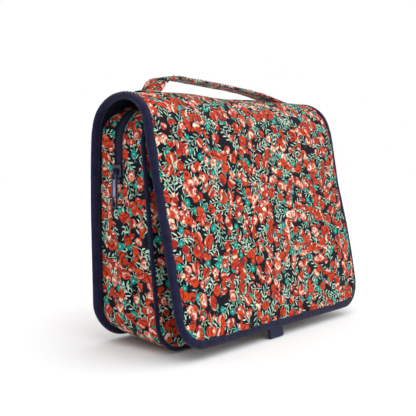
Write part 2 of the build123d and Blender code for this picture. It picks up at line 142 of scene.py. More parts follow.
def bump(t, low, high):
    """Smooth hill from 0 at low to 1 in the middle and 0 at high."""
    if not low < t < high:
        return 0.0
    return math.sin(math.pi * (t - low) / (high - low)) ** 2


def ripple(x, y, size, seed=0.0):
    """Soft random swell between about -1 and 1."""
    return noise.noise(Vector((x / size, y / size, seed)))


# ---------------------------------------------------------------- cover: flap, arch and back as one strip
def cover_line(s):
    """Side view of the outer cloth: point (y, z) and outward normal, s from the flap's lower edge."""
    if s <= FLAP_LENGTH:
        top_y = ARCH_Y - ARCH_RADIUS * math.cos(LEAN)
        top_z = ARCH_Z + ARCH_RADIUS * math.sin(LEAN)
        down = FLAP_LENGTH - s
        y = top_y - down * math.sin(LEAN)
        z = top_z - down * math.cos(LEAN)
        return y, z, -math.cos(LEAN), math.sin(LEAN)
    if s <= FLAP_LENGTH + ARCH_LENGTH:
        a = ARCH_TURN - (s - FLAP_LENGTH) / ARCH_RADIUS
        return (
            ARCH_Y + ARCH_RADIUS * math.cos(a),
            ARCH_Z + ARCH_RADIUS * math.sin(a),
            math.cos(a),
            math.sin(a),
        )
    return BACK_Y, ARCH_Z - (s - FLAP_LENGTH - ARCH_LENGTH), 1.0, 0.0


def cover_swell(x, s):
    """How far the padded cover stands out from its flat pattern."""
    across = x / HALF_WIDTH
    right = ease(across) ** 1.3
    shoulder = 5.0 * MM * right * bump(s, 0.62 * FLAP_LENGTH, FLAP_LENGTH + 0.75 * ARCH_LENGTH)
    if s < FLAP_LENGTH:
        up = s / FLAP_LENGTH
        crown = 1.6 * MM * (1 - across * across) * math.sin(math.pi * min(up / 1.15, 1.0))
        bow = 4.5 * MM * right * bump(s, -0.25 * FLAP_LENGTH, 1.16 * FLAP_LENGTH)
        hang = 0.9 * MM * ripple(x, s, 0.075, 3.1) * ease(up * 3)
        return crown + bow + shoulder + hang
    if s > FLAP_LENGTH + ARCH_LENGTH:
        down = (s - FLAP_LENGTH - ARCH_LENGTH) / ARCH_Z
        return 1.8 * MM * bump(down, -0.25, 1.0) + 0.6 * MM * ripple(x, s, 0.08, 5.7) * bump(down, 0, 1)
    return shoulder + 0.35 * MM * ripple(x, s, 0.05, 8.2)


def ridge_lift(across):
    """The arch stands a little proud in its middle and sinks towards its open left end."""
    if across < 0:
        return 2.3 * MM - 6.8 * MM * abs(across) ** 2.2
    return 2.3 * MM * (1 - across**4)


def cover_point(x, s, depth=0.0):
    """A point of the cover, depth below its outer cloth."""
    y, z, ny, nz = cover_line(s)
    across = x / HALF_WIDTH
    out = cover_swell(x, s) - depth
    on_arch = bump(s, FLAP_LENGTH - 45 * MM, FLAP_LENGTH + ARCH_LENGTH + 30 * MM)
    slump = 2.4 * MM * on_arch * max(-across, 0.0) ** 2.4
    foot = ease((s - COVER_LENGTH + 60 * MM) / (60 * MM))
    turned_up = 7.0 * MM * foot * min(abs(across), 1.0) ** 3
    lift = on_arch * ridge_lift(max(min(across, 1.0), -1.0))
    wide = 4.5 * MM * ease(across)
    return Vector((x + wide, y + ny * out - slump, z + nz * out + lift + turned_up))


def outline_half(s_edge, inset, corner):
    """Half width of a panel with a rounded lower corner, s_edge from its lower edge."""
    radius = corner - inset
    rise = s_edge - inset
    half = HALF_WIDTH - inset
    if rise >= radius:
        return half
    return half - radius + math.sqrt(max(radius**2 - (radius - rise) ** 2, 0.0))


def edge_rows(start, end, corner, step):
    """Distances from the lower edge, close together round the corner."""
    turns = [start + (corner - start) * (1 - math.cos(math.pi / 2 * i / 8)) for i in range(9)]
    count = max(2, round((end - corner) / step))
    return turns + [corner + (end - corner) * i / count for i in range(1, count + 1)]


# ---------------------------------------------------------------- pouch outline
def pouch_edge(q):
    """Pouch outline seen from the front: point (x, h) and outward normal, q from the floor's middle."""
    low, high = POUCH_BOTTOM_CORNER, POUCH_TOP_CORNER
    half, height = POUCH_HALF, POUCH_HEIGHT
    mirror = 1.0
    total = pouch_length()
    q = q % total
    if q > total / 2:
        q, mirror = total - q, -1.0
    runs = [half - low, low * math.pi / 2, height - low - high, high * math.pi / 2, half - high]
    if q <= runs[0]:
        return -q * mirror, 0.0, 0.0, -1.0
    q -= runs[0]
    if q <= runs[1]:
        a = q / low
        nx, nh = -math.sin(a), -math.cos(a)
        return (-half + low + low * nx) * mirror, low + low * nh, nx * mirror, nh
    q -= runs[1]
    if q <= runs[2]:
        return -half * mirror, low + q, -mirror, 0.0
    q -= runs[2]
    if q <= runs[3]:
        a = q / high
        nx, nh = -math.cos(a), math.sin(a)
        return (-half + high + high * nx) * mirror, height - high + high * nh, nx * mirror, nh
    q -= runs[3]
    return (-half + high + q) * mirror, height, 0.0, 1.0


def pouch_length():
    low, high = POUCH_BOTTOM_CORNER, POUCH_TOP_CORNER
    straight = 2 * (POUCH_HALF - low) + 2 * (POUCH_HALF - high) + 2 * (POUCH_HEIGHT - low - high)
    return straight + math.pi * (low + high)


def side_q(h):
    """Length along the outline from the floor's middle to height h on the left side."""
    return POUCH_HALF - POUCH_BOTTOM_CORNER + POUCH_BOTTOM_CORNER * math.pi / 2 + h - POUCH_BOTTOM_CORNER


def height_at(h, y):
    return FLOOR_Z + h + (y - FOOT_Y) * POUCH_CLIMB


def left_side_q(z, y):
    """Length along the outline to the left side's point at this height and Y."""
    return side_q(z - FLOOR_Z - (y - FOOT_Y) * POUCH_CLIMB)


def front_y(h, depth=0.0):
    """Where the pouch front lies in Y, for a point h up the outline."""
    slope = math.tan(POUCH_LEAN)
    return FOOT_Y + h * slope / (1 - slope * POUCH_CLIMB) + depth / math.cos(POUCH_LEAN)


def back_y(h):
    """Where the gusset meets the cover's lining."""
    z = height_at(h, INNER_Y)
    if z <= ARCH_Z:
        return INNER_Y
    inner = ARCH_RADIUS - WALL
    return ARCH_Y + math.sqrt(max(inner**2 - (z - ARCH_Z) ** 2, 0.0))


CREASES = (
    # (y, z) points in millimetres, depth of the fold, its half width, cloth taken up in it
    (((16, 121), (15, 98), (11, 72), (4, 42), (-7, 17)), 3.0, 2.2, 2.4),
    (((21, 92), (17, 66), (9, 38), (0, 16)), 1.6, 2.4, 1.3),
    (((31, 100), (30, 70), (25, 46)), 1.1, 3.2, 0.7),
    (((4, 116), (1, 96), (-1, 80)), 0.9, 2.8, 0.5),
    (((38, 60), (31, 30), (18, 12)), 1.3, 3.2, 0.8),
)


def folds_at(y, z):
    """Pinched folds of the slack gusset at a place in millimetres: height, and cloth taken up across them."""
    height, taken = 0.0, 0.0
    for points, deep, half, take in CREASES:
        best, along, side = 1e9, 0.0, 1.0
        for i in range(len(points) - 1):
            (ay, az), (by, bz) = points[i], points[i + 1]
            dy, dz = by - ay, bz - az
            t = ((y - ay) * dy + (z - az) * dz) / (dy * dy + dz * dz)
            t = min(max(t, 0.0), 1.0)
            gap_y, gap_z = y - ay - t * dy, z - az - t * dz
            gap = math.hypot(gap_y, gap_z)
            if gap < best:
                best, along = gap, (i + t) / (len(points) - 1)
                side = 1.0 if gap_y * dz - gap_z * dy > 0 else -1.0
        fade = math.sin(math.pi * min(max(along * 0.9 + 0.08, 0), 1)) ** 0.6
        r = best / half
        height += deep * fade * ((0.6 * r * r - 1) * math.exp(-r * r * 0.8) * 1.25)
        taken += take * fade * side * math.tanh(best / 0.9) * math.exp(-((r / 3.5) ** 2))
    return height * MM, taken * MM


def gusset_point(q, y, depth=0.0):
    """A point of the gusset, depth below its cloth."""
    x, h, nx, nh = pouch_edge(q)
    z = height_at(h, y)
    front, back = front_y(h), back_y(h)
    across = (y - front) / max(back - front, 1e-6)
    tied = ease(across * 7) * ease((1 - across) * 7)
    on_side = abs(nx) ** 2
    at_band = ease(abs(z - SEAM_Z) / (9 * MM))
    lower = ease((SEAM_Z - z) / (16 * MM))
    flip = 0.0 if x < 0 else 7.0
    folds = folds_at(y / MM + flip, z / MM + flip)[0] * lower * on_side
    swell = 1.6 * MM * math.sin(math.pi * min(max(across, 0), 1)) * lower
    crumple = (0.8 * ripple(y + flip, z, 0.022, 1.3) + 0.3 * ripple(y, z + flip, 0.008, 4.4)) * MM
    out = (folds + swell + crumple * (0.35 + 0.65 * lower)) * tied * at_band - depth
    return Vector((x + nx * out, y, z + nh * out))


# ---------------------------------------------------------------- meshes
def new_piece(name, verts, faces, uvs, tags, materials, smooth=True):
    """One closed mesh; uvs holds a (u, v) in metres for each face corner, tags a material index."""
    mesh = bpy.data.meshes.new(name)
    mesh.from_pydata([tuple(v) for v in verts], [], faces)
    layer = mesh.uv_layers.new(name="cloth")
    layer.data.foreach_set("uv", np.array(uvs, np.float32).ravel())
    mesh.polygons.foreach_set("material_index", np.array(tags, np.int32))
    mesh.polygons.foreach_set("use_smooth", np.full(len(faces), smooth))
    for material in materials:
        mesh.materials.append(material)
    piece = bpy.data.objects.new(name, mesh)
    bpy.context.scene.collection.objects.link(piece)
    return piece


def slab(name, outer, inner, uv, materials):
    """Closed sheet from two grids of points; the first material is outside, the last inside."""
    rows, cols = len(outer), len(outer[0])
    verts = [p for row in outer for p in row] + [p for row in inner for p in row]
    back = rows * cols
    last = len(materials) - 1
    faces, uvs, tags = [], [], []

    def face(corners, places, tag):
        faces.append(corners)
        uvs.extend(places)
        tags.append(tag)

    for i in range(rows - 1):
        for j in range(cols - 1):
            ring = [(i, j), (i, j + 1), (i + 1, j + 1), (i + 1, j)]
            face([a * cols + b for a, b in ring], [uv[a][b] for a, b in ring], 0)
            ring.reverse()
            face([back + a * cols + b for a, b in ring], [uv[a][b] for a, b in ring], last)
    rim = [(0, j) for j in range(cols)] + [(i, cols - 1) for i in range(1, rows)]
    rim += [(rows - 1, j) for j in range(cols - 2, -1, -1)] + [(i, 0) for i in range(rows - 2, 0, -1)]
    for k, (a, b) in enumerate(rim):
        c, d = rim[(k + 1) % len(rim)]
        one, two = a * cols + b, c * cols + d
        face([two, one, back + one, back + two], [uv[c][d], uv[a][b], uv[a][b], uv[c][d]], 0)
    piece = new_piece(name, verts, faces, uvs, tags, materials)
    face_outwards(piece)
    return piece


def between(ring, following):
    """A ring just inside the end of a tube, so that its end stays square when softened."""
    return [a.lerp(b, 0.08) for a, b in zip(ring, following)]


def tube(name, rings, uv, material):
    """Closed sweep through rings of points, capped at both ends."""
    rings = [rings[0], between(rings[0], rings[1])] + rings[1:-1] + [between(rings[-1], rings[-2]), rings[-1]]
    uv = [uv[0]] + uv + [uv[-1]]
    count, sides = len(rings), len(rings[0])
    verts = [p for ring in rings for p in ring]
    faces, uvs = [], []
    for i in range(count - 1):
        for j in range(sides):
            k = (j + 1) % sides
            faces.append([i * sides + j, i * sides + k, (i + 1) * sides + k, (i + 1) * sides + j])
            uvs += [uv[i][j], uv[i][j + 1], uv[i + 1][j + 1], uv[i + 1][j]]
    for i in (0, count - 1):
        faces.append([i * sides + j for j in range(sides)])
        uvs += [uv[i][j] for j in range(sides)]
    piece = new_piece(name, verts, faces, uvs, [0] * len(faces), [material])
    face_outwards(piece)
    return piece


def face_outwards(piece):
    shape = bmesh.new()
    shape.from_mesh(piece.data)
    bmesh.ops.recalc_face_normals(shape, faces=shape.faces)
    shape.to_mesh(piece.data)
    shape.free()


def soften(piece, levels=1):
    """Subdivision surface, applied."""
    modifier = piece.modifiers.new("soften", "SUBSURF")
    modifier.levels = levels
    modifier.render_levels = levels
    apply_modifiers(piece)


def apply_modifiers(piece):
    view = bpy.context.evaluated_depsgraph_get()
    mesh = bpy.data.meshes.new_from_object(piece.evaluated_get(view))
    old = piece.data
    piece.modifiers.clear()
    piece.data = mesh
    bpy.data.meshes.remove(old)


def keep_apart(start, shift):
    """Hold the lining's points behind the outer cloth's, at least LEAST_PADDING away."""
    half = len(start) // 2
    inward = start[half:] - start[:half]
    inward /= np.maximum(np.linalg.norm(inward, axis=1, keepdims=True), 1e-9)
    apart = start[half:] + shift[half:] - start[:half] - shift[:half]
    gap = (apart * inward).sum(axis=1, keepdims=True)
    shift[half:] += inward * np.maximum(LEAST_PADDING - gap, 0.0)


def puff(piece, pinned, pressure, cap, frames=18, slack=0.0):
    """Cloth simulation of a padded piece: pressed outwards from inside, pinned where it is sewn."""
    start = np.array([v.co for v in piece.data.vertices], float)
    group = piece.vertex_groups.new(name="sewn")
    group.add([i for i, held in enumerate(pinned) if held], 1.0, "REPLACE")
    cloth = piece.modifiers.new("cloth", "CLOTH")
    settings = cloth.settings
    settings.vertex_group_mass = "sewn"
    settings.quality = 6
    settings.mass = 0.25
    settings.tension_stiffness = 18
    settings.compression_stiffness = 18
    settings.shear_stiffness = 6
    settings.bending_stiffness = 1.2
    settings.shrink_min = -slack
    settings.use_pressure = True
    settings.uniform_pressure_force = pressure
    settings.effector_weights.gravity = 0
    cloth.point_cache.frame_start = 1
    cloth.point_cache.frame_end = frames
    for step in range(1, frames + 1):
        bpy.context.scene.frame_set(step)
    view = bpy.context.evaluated_depsgraph_get()
    shaped = piece.evaluated_get(view).to_mesh()
    moved = np.array([v.co for v in shaped.vertices], float)
    piece.evaluated_get(view).to_mesh_clear()
    piece.modifiers.clear()
    piece.vertex_groups.clear()
    bpy.context.scene.frame_set(1)
    shift = moved - start
    size = np.linalg.norm(shift, axis=1, keepdims=True)
    shift *= np.minimum(1.0, cap / np.maximum(size, 1e-9))
    keep_apart(start, shift)
    piece.data.vertices.foreach_set("co", (start + shift).astype(np.float32).ravel())
    piece.data.update()


# ---------------------------------------------------------------- shader building
class Wiring:
    """Short names for building a node tree."""

    def __init__(self, tree):
        self.tree = tree

    def node(self, kind, inputs=None, **settings):
        made = self.tree.nodes.new(kind)
        for key, value in settings.items():
            setattr(made, key, value)
        for key, value in (inputs or {}).items():
            self.feed(made.inputs[key], value)
        return made

    def feed(self, socket, value):
        if isinstance(value, bpy.types.NodeSocket):
            self.tree.links.new(value, socket)
        elif value is not None:
            socket.default_value = value

    def math(self, operation, *values, clamp=False):
        made = self.node("ShaderNodeMath", operation=operation, use_clamp=clamp)
        for socket, value in zip(made.inputs, values):
            self.feed(socket, value)
        return made.outputs[0]

    def vector(self, operation, *values, scale=None):
        made = self.node("ShaderNodeVectorMath", operation=operation)
        for socket, value in zip(made.inputs, values):
            self.feed(socket, value)
        if scale is not None:
            self.feed(made.inputs["Scale"], scale)
        return made.outputs["Value"] if operation in ("LENGTH", "DOT_PRODUCT") else made.outputs[0]

    def mix(self, factor, one, two, blend="MIX"):
        made = self.node("ShaderNodeMix", data_type="RGBA", blend_type=blend)
        self.feed(made.inputs[0], factor)
        self.feed(made.inputs[6], one)
        self.feed(made.inputs[7], two)
        return made.outputs[2]

    def ramp(self, factor, stops, sharp=False):
        made = self.node("ShaderNodeValToRGB", {"Fac": factor})
        made.color_ramp.interpolation = "CONSTANT" if sharp else "LINEAR"
        points = made.color_ramp.elements
        while len(points) < len(stops):
            points.new(0.5)
        for point, (place, colour) in zip(points, stops):
            point.position = place
            point.color = (*colour, 1)
        return made.outputs["Color"]


def shader_group(name, inputs, outputs):
    """Empty shader node group with its sockets; returns the wiring, its input and its output node."""
    tree = bpy.data.node_groups.new(name, "ShaderNodeTree")
    for label, kind, value in inputs:
        socket = tree.interface.new_socket(label, in_out="INPUT", socket_type=kind)
        if value is not None:
            socket.default_value = value
    for label, kind in outputs:
        tree.interface.new_socket(label, in_out="OUTPUT", socket_type=kind)
    wires = Wiring(tree)
    return wires, wires.node("NodeGroupInput").outputs, wires.node("NodeGroupOutput").inputs


FLOAT, COLOUR, VECTOR = "NodeSocketFloat", "NodeSocketColor", "NodeSocketVector"


def srgb(red, green, blue):
    """Paint-chart values 0-255 to linear light."""
    return tuple(
        (c / 255 / 12.92) if c <= 10 else ((c / 255 + 0.055) / 1.055) ** 2.4 for c in (red, green, blue)
    )


NAVY_GROUND = srgb(10, 12, 27)
ORANGE_RED = srgb(206, 66, 26)
VERMILION = srgb(184, 44, 22)
BRICK = srgb(146, 42, 46)
MAROON = srgb(108, 24, 34)
CORAL = srgb(222, 104, 84)
SALMON = srgb(230, 140, 124)
CREAM = srgb(240, 226, 200)
TEAL = srgb(8, 148, 132)
MINT = srgb(176, 216, 190)
BINDING_NAVY = srgb(22, 23, 54)
LINING_NAVY = srgb(14, 15, 32)


def rosette_group():
    """Round blossoms scattered on a jittered grid, in millimetres of cloth."""
    g, given, out = shader_group(
        "scattered rosettes",
        [("Place", VECTOR, None), ("Spacing", FLOAT, 7.0), ("Radius", FLOAT, 3.0), ("Keep", FLOAT, 0.6),
         ("Lobes", FLOAT, 5.0), ("Shift", FLOAT, 0.0), ("Jitter", FLOAT, 0.6)],
        [("Mask", FLOAT), ("From Centre", FLOAT), ("Pick", FLOAT), ("Second Pick", FLOAT), ("Angle", FLOAT)],
    )
    shifted = g.vector("ADD", given["Place"], given["Shift"])
    place = g.vector("DIVIDE", shifted, g.node("ShaderNodeCombineXYZ", {
        "X": given["Spacing"], "Y": given["Spacing"], "Z": 1.0}).outputs[0])
    cells = g.node("ShaderNodeTexVoronoi", {"Vector": place, "Scale": 1.0, "Randomness": given["Jitter"]},
                   voronoi_dimensions="2D", feature="F1")
    away = g.vector("SUBTRACT", place, cells.outputs["Position"])
    parts = g.node("ShaderNodeSeparateXYZ", {"Vector": away}).outputs
    picks = g.node("ShaderNodeSeparateColor", {"Color": cells.outputs["Color"]}).outputs
    flat = g.node("ShaderNodeCombineXYZ", {"X": parts["X"], "Y": parts["Y"]}).outputs[0]
    distance = g.math("MULTIPLY", g.vector("LENGTH", flat), given["Spacing"])
    angle = g.math("ARCTAN2", parts["Y"], parts["X"])
    turn = g.math("MULTIPLY_ADD", picks["Green"], 6.283, g.math("MULTIPLY", angle, given["Lobes"]))
    lobes = g.math("MULTIPLY_ADD", g.math("SINE", turn), 0.035, 1.0)
    size = g.math("MULTIPLY_ADD", picks["Red"], 0.36, 0.8)
    radius = g.math("MULTIPLY", g.math("MULTIPLY", given["Radius"], size), lobes)
    share = g.math("DIVIDE", distance, radius)
    inside = g.math("LESS_THAN", share, 1.0)
    kept = g.math("LESS_THAN", picks["Blue"], given["Keep"])
    g.feed(out["Mask"], g.math("MULTIPLY", inside, kept))
    g.feed(out["From Centre"], share)
    g.feed(out["Pick"], picks["Red"])
    g.feed(out["Second Pick"], picks["Green"])
    g.feed(out["Angle"], angle)
    return g.tree


def sprig_group():
    """Leaf sprigs: pairs of slender leaves along a thin bent stem, in millimetres of cloth."""
    g, given, out = shader_group(
        "leaf sprigs",
        [("Place", VECTOR, None), ("Spacing", FLOAT, 15.0), ("Shift", FLOAT, 0.0),
         ("Leaf Pitch", FLOAT, 4.2)],
        [("Mask", FLOAT), ("Pick", FLOAT)],
    )
    shifted = g.vector("ADD", given["Place"], given["Shift"])
    place = g.vector("DIVIDE", shifted, g.node("ShaderNodeCombineXYZ", {
        "X": given["Spacing"], "Y": given["Spacing"], "Z": 1.0}).outputs[0])
    cells = g.node("ShaderNodeTexVoronoi", {"Vector": place, "Scale": 1.0, "Randomness": 0.6},
                   voronoi_dimensions="2D", feature="F1")
    away = g.vector("SCALE", g.vector("SUBTRACT", place, cells.outputs["Position"]), scale=given["Spacing"])
    picks = g.node("ShaderNodeSeparateColor", {"Color": cells.outputs["Color"]}).outputs
    parts = g.node("ShaderNodeSeparateXYZ", {"Vector": away}).outputs
    turn = g.math("MULTIPLY", picks["Red"], 6.283)
    cosine, sine = g.math("COSINE", turn), g.math("SINE", turn)
    along = g.math("MULTIPLY_ADD", parts["X"], cosine, g.math("MULTIPLY", parts["Y"], sine))
    side = g.math("SUBTRACT", g.math("MULTIPLY", parts["Y"], cosine), g.math("MULTIPLY", parts["X"], sine))
    bend = g.math("MULTIPLY", g.math("MULTIPLY", along, along), g.math("SUBTRACT", picks["Green"], 0.5))
    off_stem = g.math("ABSOLUTE", g.math("MULTIPLY_ADD", bend, 0.05, side))
    slanted = g.math("MULTIPLY_ADD", off_stem, -0.9, along)
    pitch = given["Leaf Pitch"]
    phase = g.math("FRACT", g.math("DIVIDE", slanted, pitch))
    step = g.math("MULTIPLY", g.math("SUBTRACT", phase, 0.5), pitch)
    reach = g.math("MULTIPLY_ADD", g.math("ABSOLUTE", along), -0.2, 4.4)
    share = g.math("DIVIDE", g.math("SUBTRACT", off_stem, 0.5), reach, clamp=True)
    width = g.math("MULTIPLY", g.math("SINE", g.math("MULTIPLY", share, 3.1416)), 0.86)
    leaf = g.math("LESS_THAN", g.math("ABSOLUTE", step), width)
    stem = g.math("LESS_THAN", off_stem, 0.22)
    near = g.math("LESS_THAN", g.math("ABSOLUTE", along), 9.0)
    g.feed(out["Mask"], g.math("MULTIPLY", g.math("MAXIMUM", leaf, stem), near))
    g.feed(out["Pick"], picks["Blue"])
    return g.tree


def weave_group():
    """Plain weave: height of the crossing threads and a slubby brightness, in millimetres."""
    g, given, out = shader_group(
        "plain weave",
        [("Place", VECTOR, None), ("Thread", FLOAT, 0.45)],
        [("Height", FLOAT), ("Shade", FLOAT)],
    )
    parts = g.node("ShaderNodeSeparateXYZ", {"Vector": given["Place"]}).outputs
    warp = g.math("SINE", g.math("DIVIDE", g.math("MULTIPLY", parts["X"], 3.1416), given["Thread"]))
    weft = g.math("SINE", g.math("DIVIDE", g.math("MULTIPLY", parts["Y"], 3.1416), given["Thread"]))
    g.feed(out["Height"], g.math("MULTIPLY_ADD", g.math("MULTIPLY", warp, weft), 0.5, 0.5))
    slub = g.node("ShaderNodeTexNoise", {"Vector": given["Place"], "Scale": 0.35, "Detail": 5.0})
    g.feed(out["Shade"], g.math("MULTIPLY_ADD", slub.outputs["Fac"], 0.35, 0.82))
    return g.tree


ROSETTES, SPRIGS, WEAVE = rosette_group(), sprig_group(), weave_group()


def use_group(g, tree, **inputs):
    made = g.node("ShaderNodeGroup", node_tree=tree)
    for key, value in inputs.items():
        g.feed(made.inputs[key.replace("_", " ")], value)
    return made.outputs


def print_group():
    """The ditsy berry print: leaf sprigs, teal berries and clusters of overlapping blossoms."""
    g, given, out = shader_group("ditsy berry print", [("Place", VECTOR, None)], [("Color", COLOUR)])
    place = given["Place"]
    warp = g.node("ShaderNodeTexNoise", {"Vector": place, "Scale": 0.2, "Detail": 1.0}).outputs["Color"]
    bent = g.vector("ADD", place, g.vector("SCALE", g.vector("SUBTRACT", warp, (0.5, 0.5, 0.5)), scale=0.6))
    crowd = g.node("ShaderNodeTexNoise", {"Vector": place, "Scale": 0.062, "Detail": 1.0}).outputs["Fac"]
    cluster = g.node("ShaderNodeMapRange", {"Value": crowd, "From Min": 0.40, "From Max": 0.56}).outputs[0]
    family = g.node("ShaderNodeTexNoise", {"Vector": place, "Scale": 0.07, "Detail": 0.0}).outputs["Color"]
    family = g.node("ShaderNodeSeparateColor", {"Color": family}).outputs["Green"]
    colour = NAVY_GROUND + (1,)
    for spacing, shift, pitch, most in ((13.0, 31.0, 4.6, 1.0), (14.0, 77.0, 4.3, 0.4)):
        leaf = use_group(g, SPRIGS, Place=bent, Spacing=spacing, Shift=shift, Leaf_Pitch=pitch)
        green = g.ramp(leaf["Pick"], [(0.0, srgb(206, 226, 206)), (0.3, MINT), (0.8, srgb(146, 196, 172))])
        kept = g.math("MULTIPLY", leaf["Mask"], g.math("LESS_THAN", leaf["Pick"], most))
        colour = g.mix(kept, colour, green)
    layers = (
        # spacing, radius, share kept, shift, place in the colours
        (10.9, 3.4, 0.62, 53.0, 0.42),
        (11.4, 4.2, 0.80, 11.0, 0.0),
        (10.6, 3.7, 0.62, 97.0, 0.28),
        (12.6, 4.1, 0.50, 205.0, 0.1),
    )
    for spacing, radius, most, shift, tint in layers:
        keep = g.math("MULTIPLY_ADD", cluster, most, 0.07)
        bloom = use_group(g, ROSETTES, Place=bent, Spacing=spacing, Radius=radius, Keep=keep, Shift=shift,
                          Jitter=0.24)
        pick = g.math("MULTIPLY_ADD", bloom["Second Pick"], 0.45, g.math("MULTIPLY_ADD", family, 2.6, tint))
        colour = g.mix(bloom["Mask"], colour, blossom_colour(g, bloom, g.math("FRACT", pick)))
        if shift == 53.0:
            colour = teal_berries(g, bent, colour)
    g.feed(out["Color"], colour)
    return g.tree


def teal_berries(g, place, under):
    berry = use_group(g, ROSETTES, Place=place, Spacing=10.5, Radius=2.9, Keep=0.42, Shift=141.0, Lobes=3.0,
                      Jitter=0.7)
    face = g.ramp(berry["From Centre"], [(0.0, srgb(150, 214, 196)), (0.22, TEAL), (0.86, srgb(6, 116, 106))],
                  sharp=True)
    return g.mix(berry["Mask"], under, face)


def blossom_colour(g, bloom, pick):
    """Colour inside a blossom: petals, a darker rim, a pale crescent and a dark eye."""
    petals = g.ramp(pick, [(0.0, ORANGE_RED), (0.22, VERMILION), (0.32, BRICK), (0.42, CORAL), (0.54, SALMON),
                           (0.65, CREAM), (0.715, CORAL), (0.78, ORANGE_RED), (0.92, MAROON)], sharp=True)
    depth = g.node("ShaderNodeMapRange", {"Value": bloom["Pick"], "To Min": 0.84, "To Max": 1.12}).outputs[0]
    depth = g.node("ShaderNodeCombineColor", {k: depth for k in ("Red", "Green", "Blue")}).outputs[0]
    petals = g.mix(1.0, petals, depth, "MULTIPLY")
    outline = srgb(84, 18, 30) + (1,)
    rim = g.math("MULTIPLY", g.math("GREATER_THAN", bloom["From Centre"], 0.87), 0.62)
    petals = g.mix(rim, petals, outline)
    ring = g.math("COMPARE", bloom["From Centre"], 0.42, 0.045)
    petals = g.mix(g.math("MULTIPLY", ring, 0.32), petals, outline)
    pale = g.ramp(pick, [(0.0, (0, 0, 0)), (0.42, (0.85, 0.85, 0.85)), (0.78, (0, 0, 0))], sharp=True)
    lit_side = g.math("GREATER_THAN", g.math("SINE", g.math("MULTIPLY_ADD", bloom["Second Pick"], 6.283,
                                                           bloom["Angle"])), -0.25)
    crescent = g.math("MULTIPLY", g.math("LESS_THAN", bloom["From Centre"], 0.56), lit_side)
    petals = g.mix(g.math("MULTIPLY", crescent, pale), petals, CREAM + (1,))
    eye = g.math("LESS_THAN", bloom["From Centre"], 0.22)
    return g.mix(g.math("MULTIPLY", eye, 0.8), petals, srgb(132, 24, 30) + (1,))


PRINT = print_group()


def cloth_material(name, roughness, sheen, build):
    """Fabric: build(wiring, place in millimetres) gives its colour and bump height."""
    material = bpy.data.materials.new(name)
    material.use_nodes = True
    g = Wiring(material.node_tree)
    surface = material.node_tree.nodes["Principled BSDF"]
    uv = g.node("ShaderNodeUVMap", uv_map="cloth").outputs["UV"]
    place = g.node("ShaderNodeMapping", {"Vector": uv, "Scale": (1000, 1000, 1000)}).outputs["Vector"]
    colour, height, strength = build(g, place)
    g.feed(surface.inputs["Base Color"], colour)
    surface.inputs["Roughness"].default_value = roughness
    surface.inputs["Sheen Weight"].default_value = sheen
    surface.inputs["Sheen Roughness"].default_value = 0.45
    surface.inputs["Specular IOR Level"].default_value = 0.12
    rough = g.node("ShaderNodeBump", {"Height": height, "Strength": strength, "Distance": 0.0002})
    g.feed(surface.inputs["Normal"], rough.outputs["Normal"])
    return material


def printed_cotton(name, repeat, turn, shift):
    """The berry print on plain-woven cotton; repeat is the print's scale on this piece."""

    def build(g, place):
        motif = g.node("ShaderNodeMapping", {"Vector": place, "Rotation": (0, 0, turn), "Location": shift,
                                             "Scale": (1 / repeat, 1 / repeat, 1)}).outputs["Vector"]
        weave = use_group(g, WEAVE, Place=place, Thread=0.42)
        colour = use_group(g, PRINT, Place=motif)["Color"]
        shade = g.node("ShaderNodeCombineColor", {k: weave["Shade"] for k in ("Red", "Green", "Blue")})
        return g.mix(1.0, colour, shade.outputs[0], "MULTIPLY"), weave["Height"], 0.35

    return cloth_material(name, 0.8, 0.07, build)


def ribbed_tape(name, colour, rib, strength, sheen):
    """Navy tape with fine cross ribs, painted shade darkening the rib grooves, and a little worn paleness."""

    def build(g, place):
        parts = g.node("ShaderNodeSeparateXYZ", {"Vector": place}).outputs
        ribs = g.math("SINE", g.math("DIVIDE", g.math("MULTIPLY", parts["X"], 6.283), rib))
        wear = g.node("ShaderNodeTexNoise", {"Vector": place, "Scale": 0.16, "Detail": 6.0}).outputs["Fac"]
        light = tuple(min(1, c * 1.45 + 0.003) for c in colour)
        tone = g.ramp(wear, [(0.35, tuple(c * 0.8 for c in colour)), (0.72, light)])
        height = g.math("MULTIPLY_ADD", ribs, 0.5, 0.5)
        # painted shade: the colour is darkened in the rib grooves, following the rib height
        dark = g.math("MULTIPLY_ADD", height, 0.3, 0.78)
        shade = g.node("ShaderNodeCombineColor", {k: dark for k in ("Red", "Green", "Blue")})
        return g.mix(1.0, tone, shade.outputs[0], "MULTIPLY"), height, strength

    return cloth_material(name, 0.75, sheen, build)


def hard_material(name, colour, roughness, metallic, grain, strength, coat=0.0):
    """Metal or moulded plastic with fine speckle and slightly uneven gloss."""
    material = bpy.data.materials.new(name)
    material.use_nodes = True
    g = Wiring(material.node_tree)
    surface = material.node_tree.nodes["Principled BSDF"]
    place = g.node("ShaderNodeTexCoord").outputs["Object"]
    fine = g.node("ShaderNodeTexNoise", {"Vector": place, "Scale": grain, "Detail": 4.0}).outputs["Fac"]
    broad = g.node("ShaderNodeTexNoise", {"Vector": place, "Scale": grain / 12, "Detail": 3.0}).outputs["Fac"]
    dark = tuple(c * 0.7 for c in colour)
    light = tuple(min(1, c * 1.35) for c in colour)
    g.feed(surface.inputs["Base Color"], g.ramp(broad, [(0.3, dark), (0.7, light)]))
    g.feed(surface.inputs["Roughness"], g.math("MULTIPLY_ADD", broad, 0.25, roughness - 0.12))
    surface.inputs["Metallic"].default_value = metallic
    surface.inputs["Coat Weight"].default_value = coat
    rough = g.node("ShaderNodeBump", {"Height": fine, "Strength": strength, "Distance": 0.0001})
    g.feed(surface.inputs["Normal"], rough.outputs["Normal"])
    return material


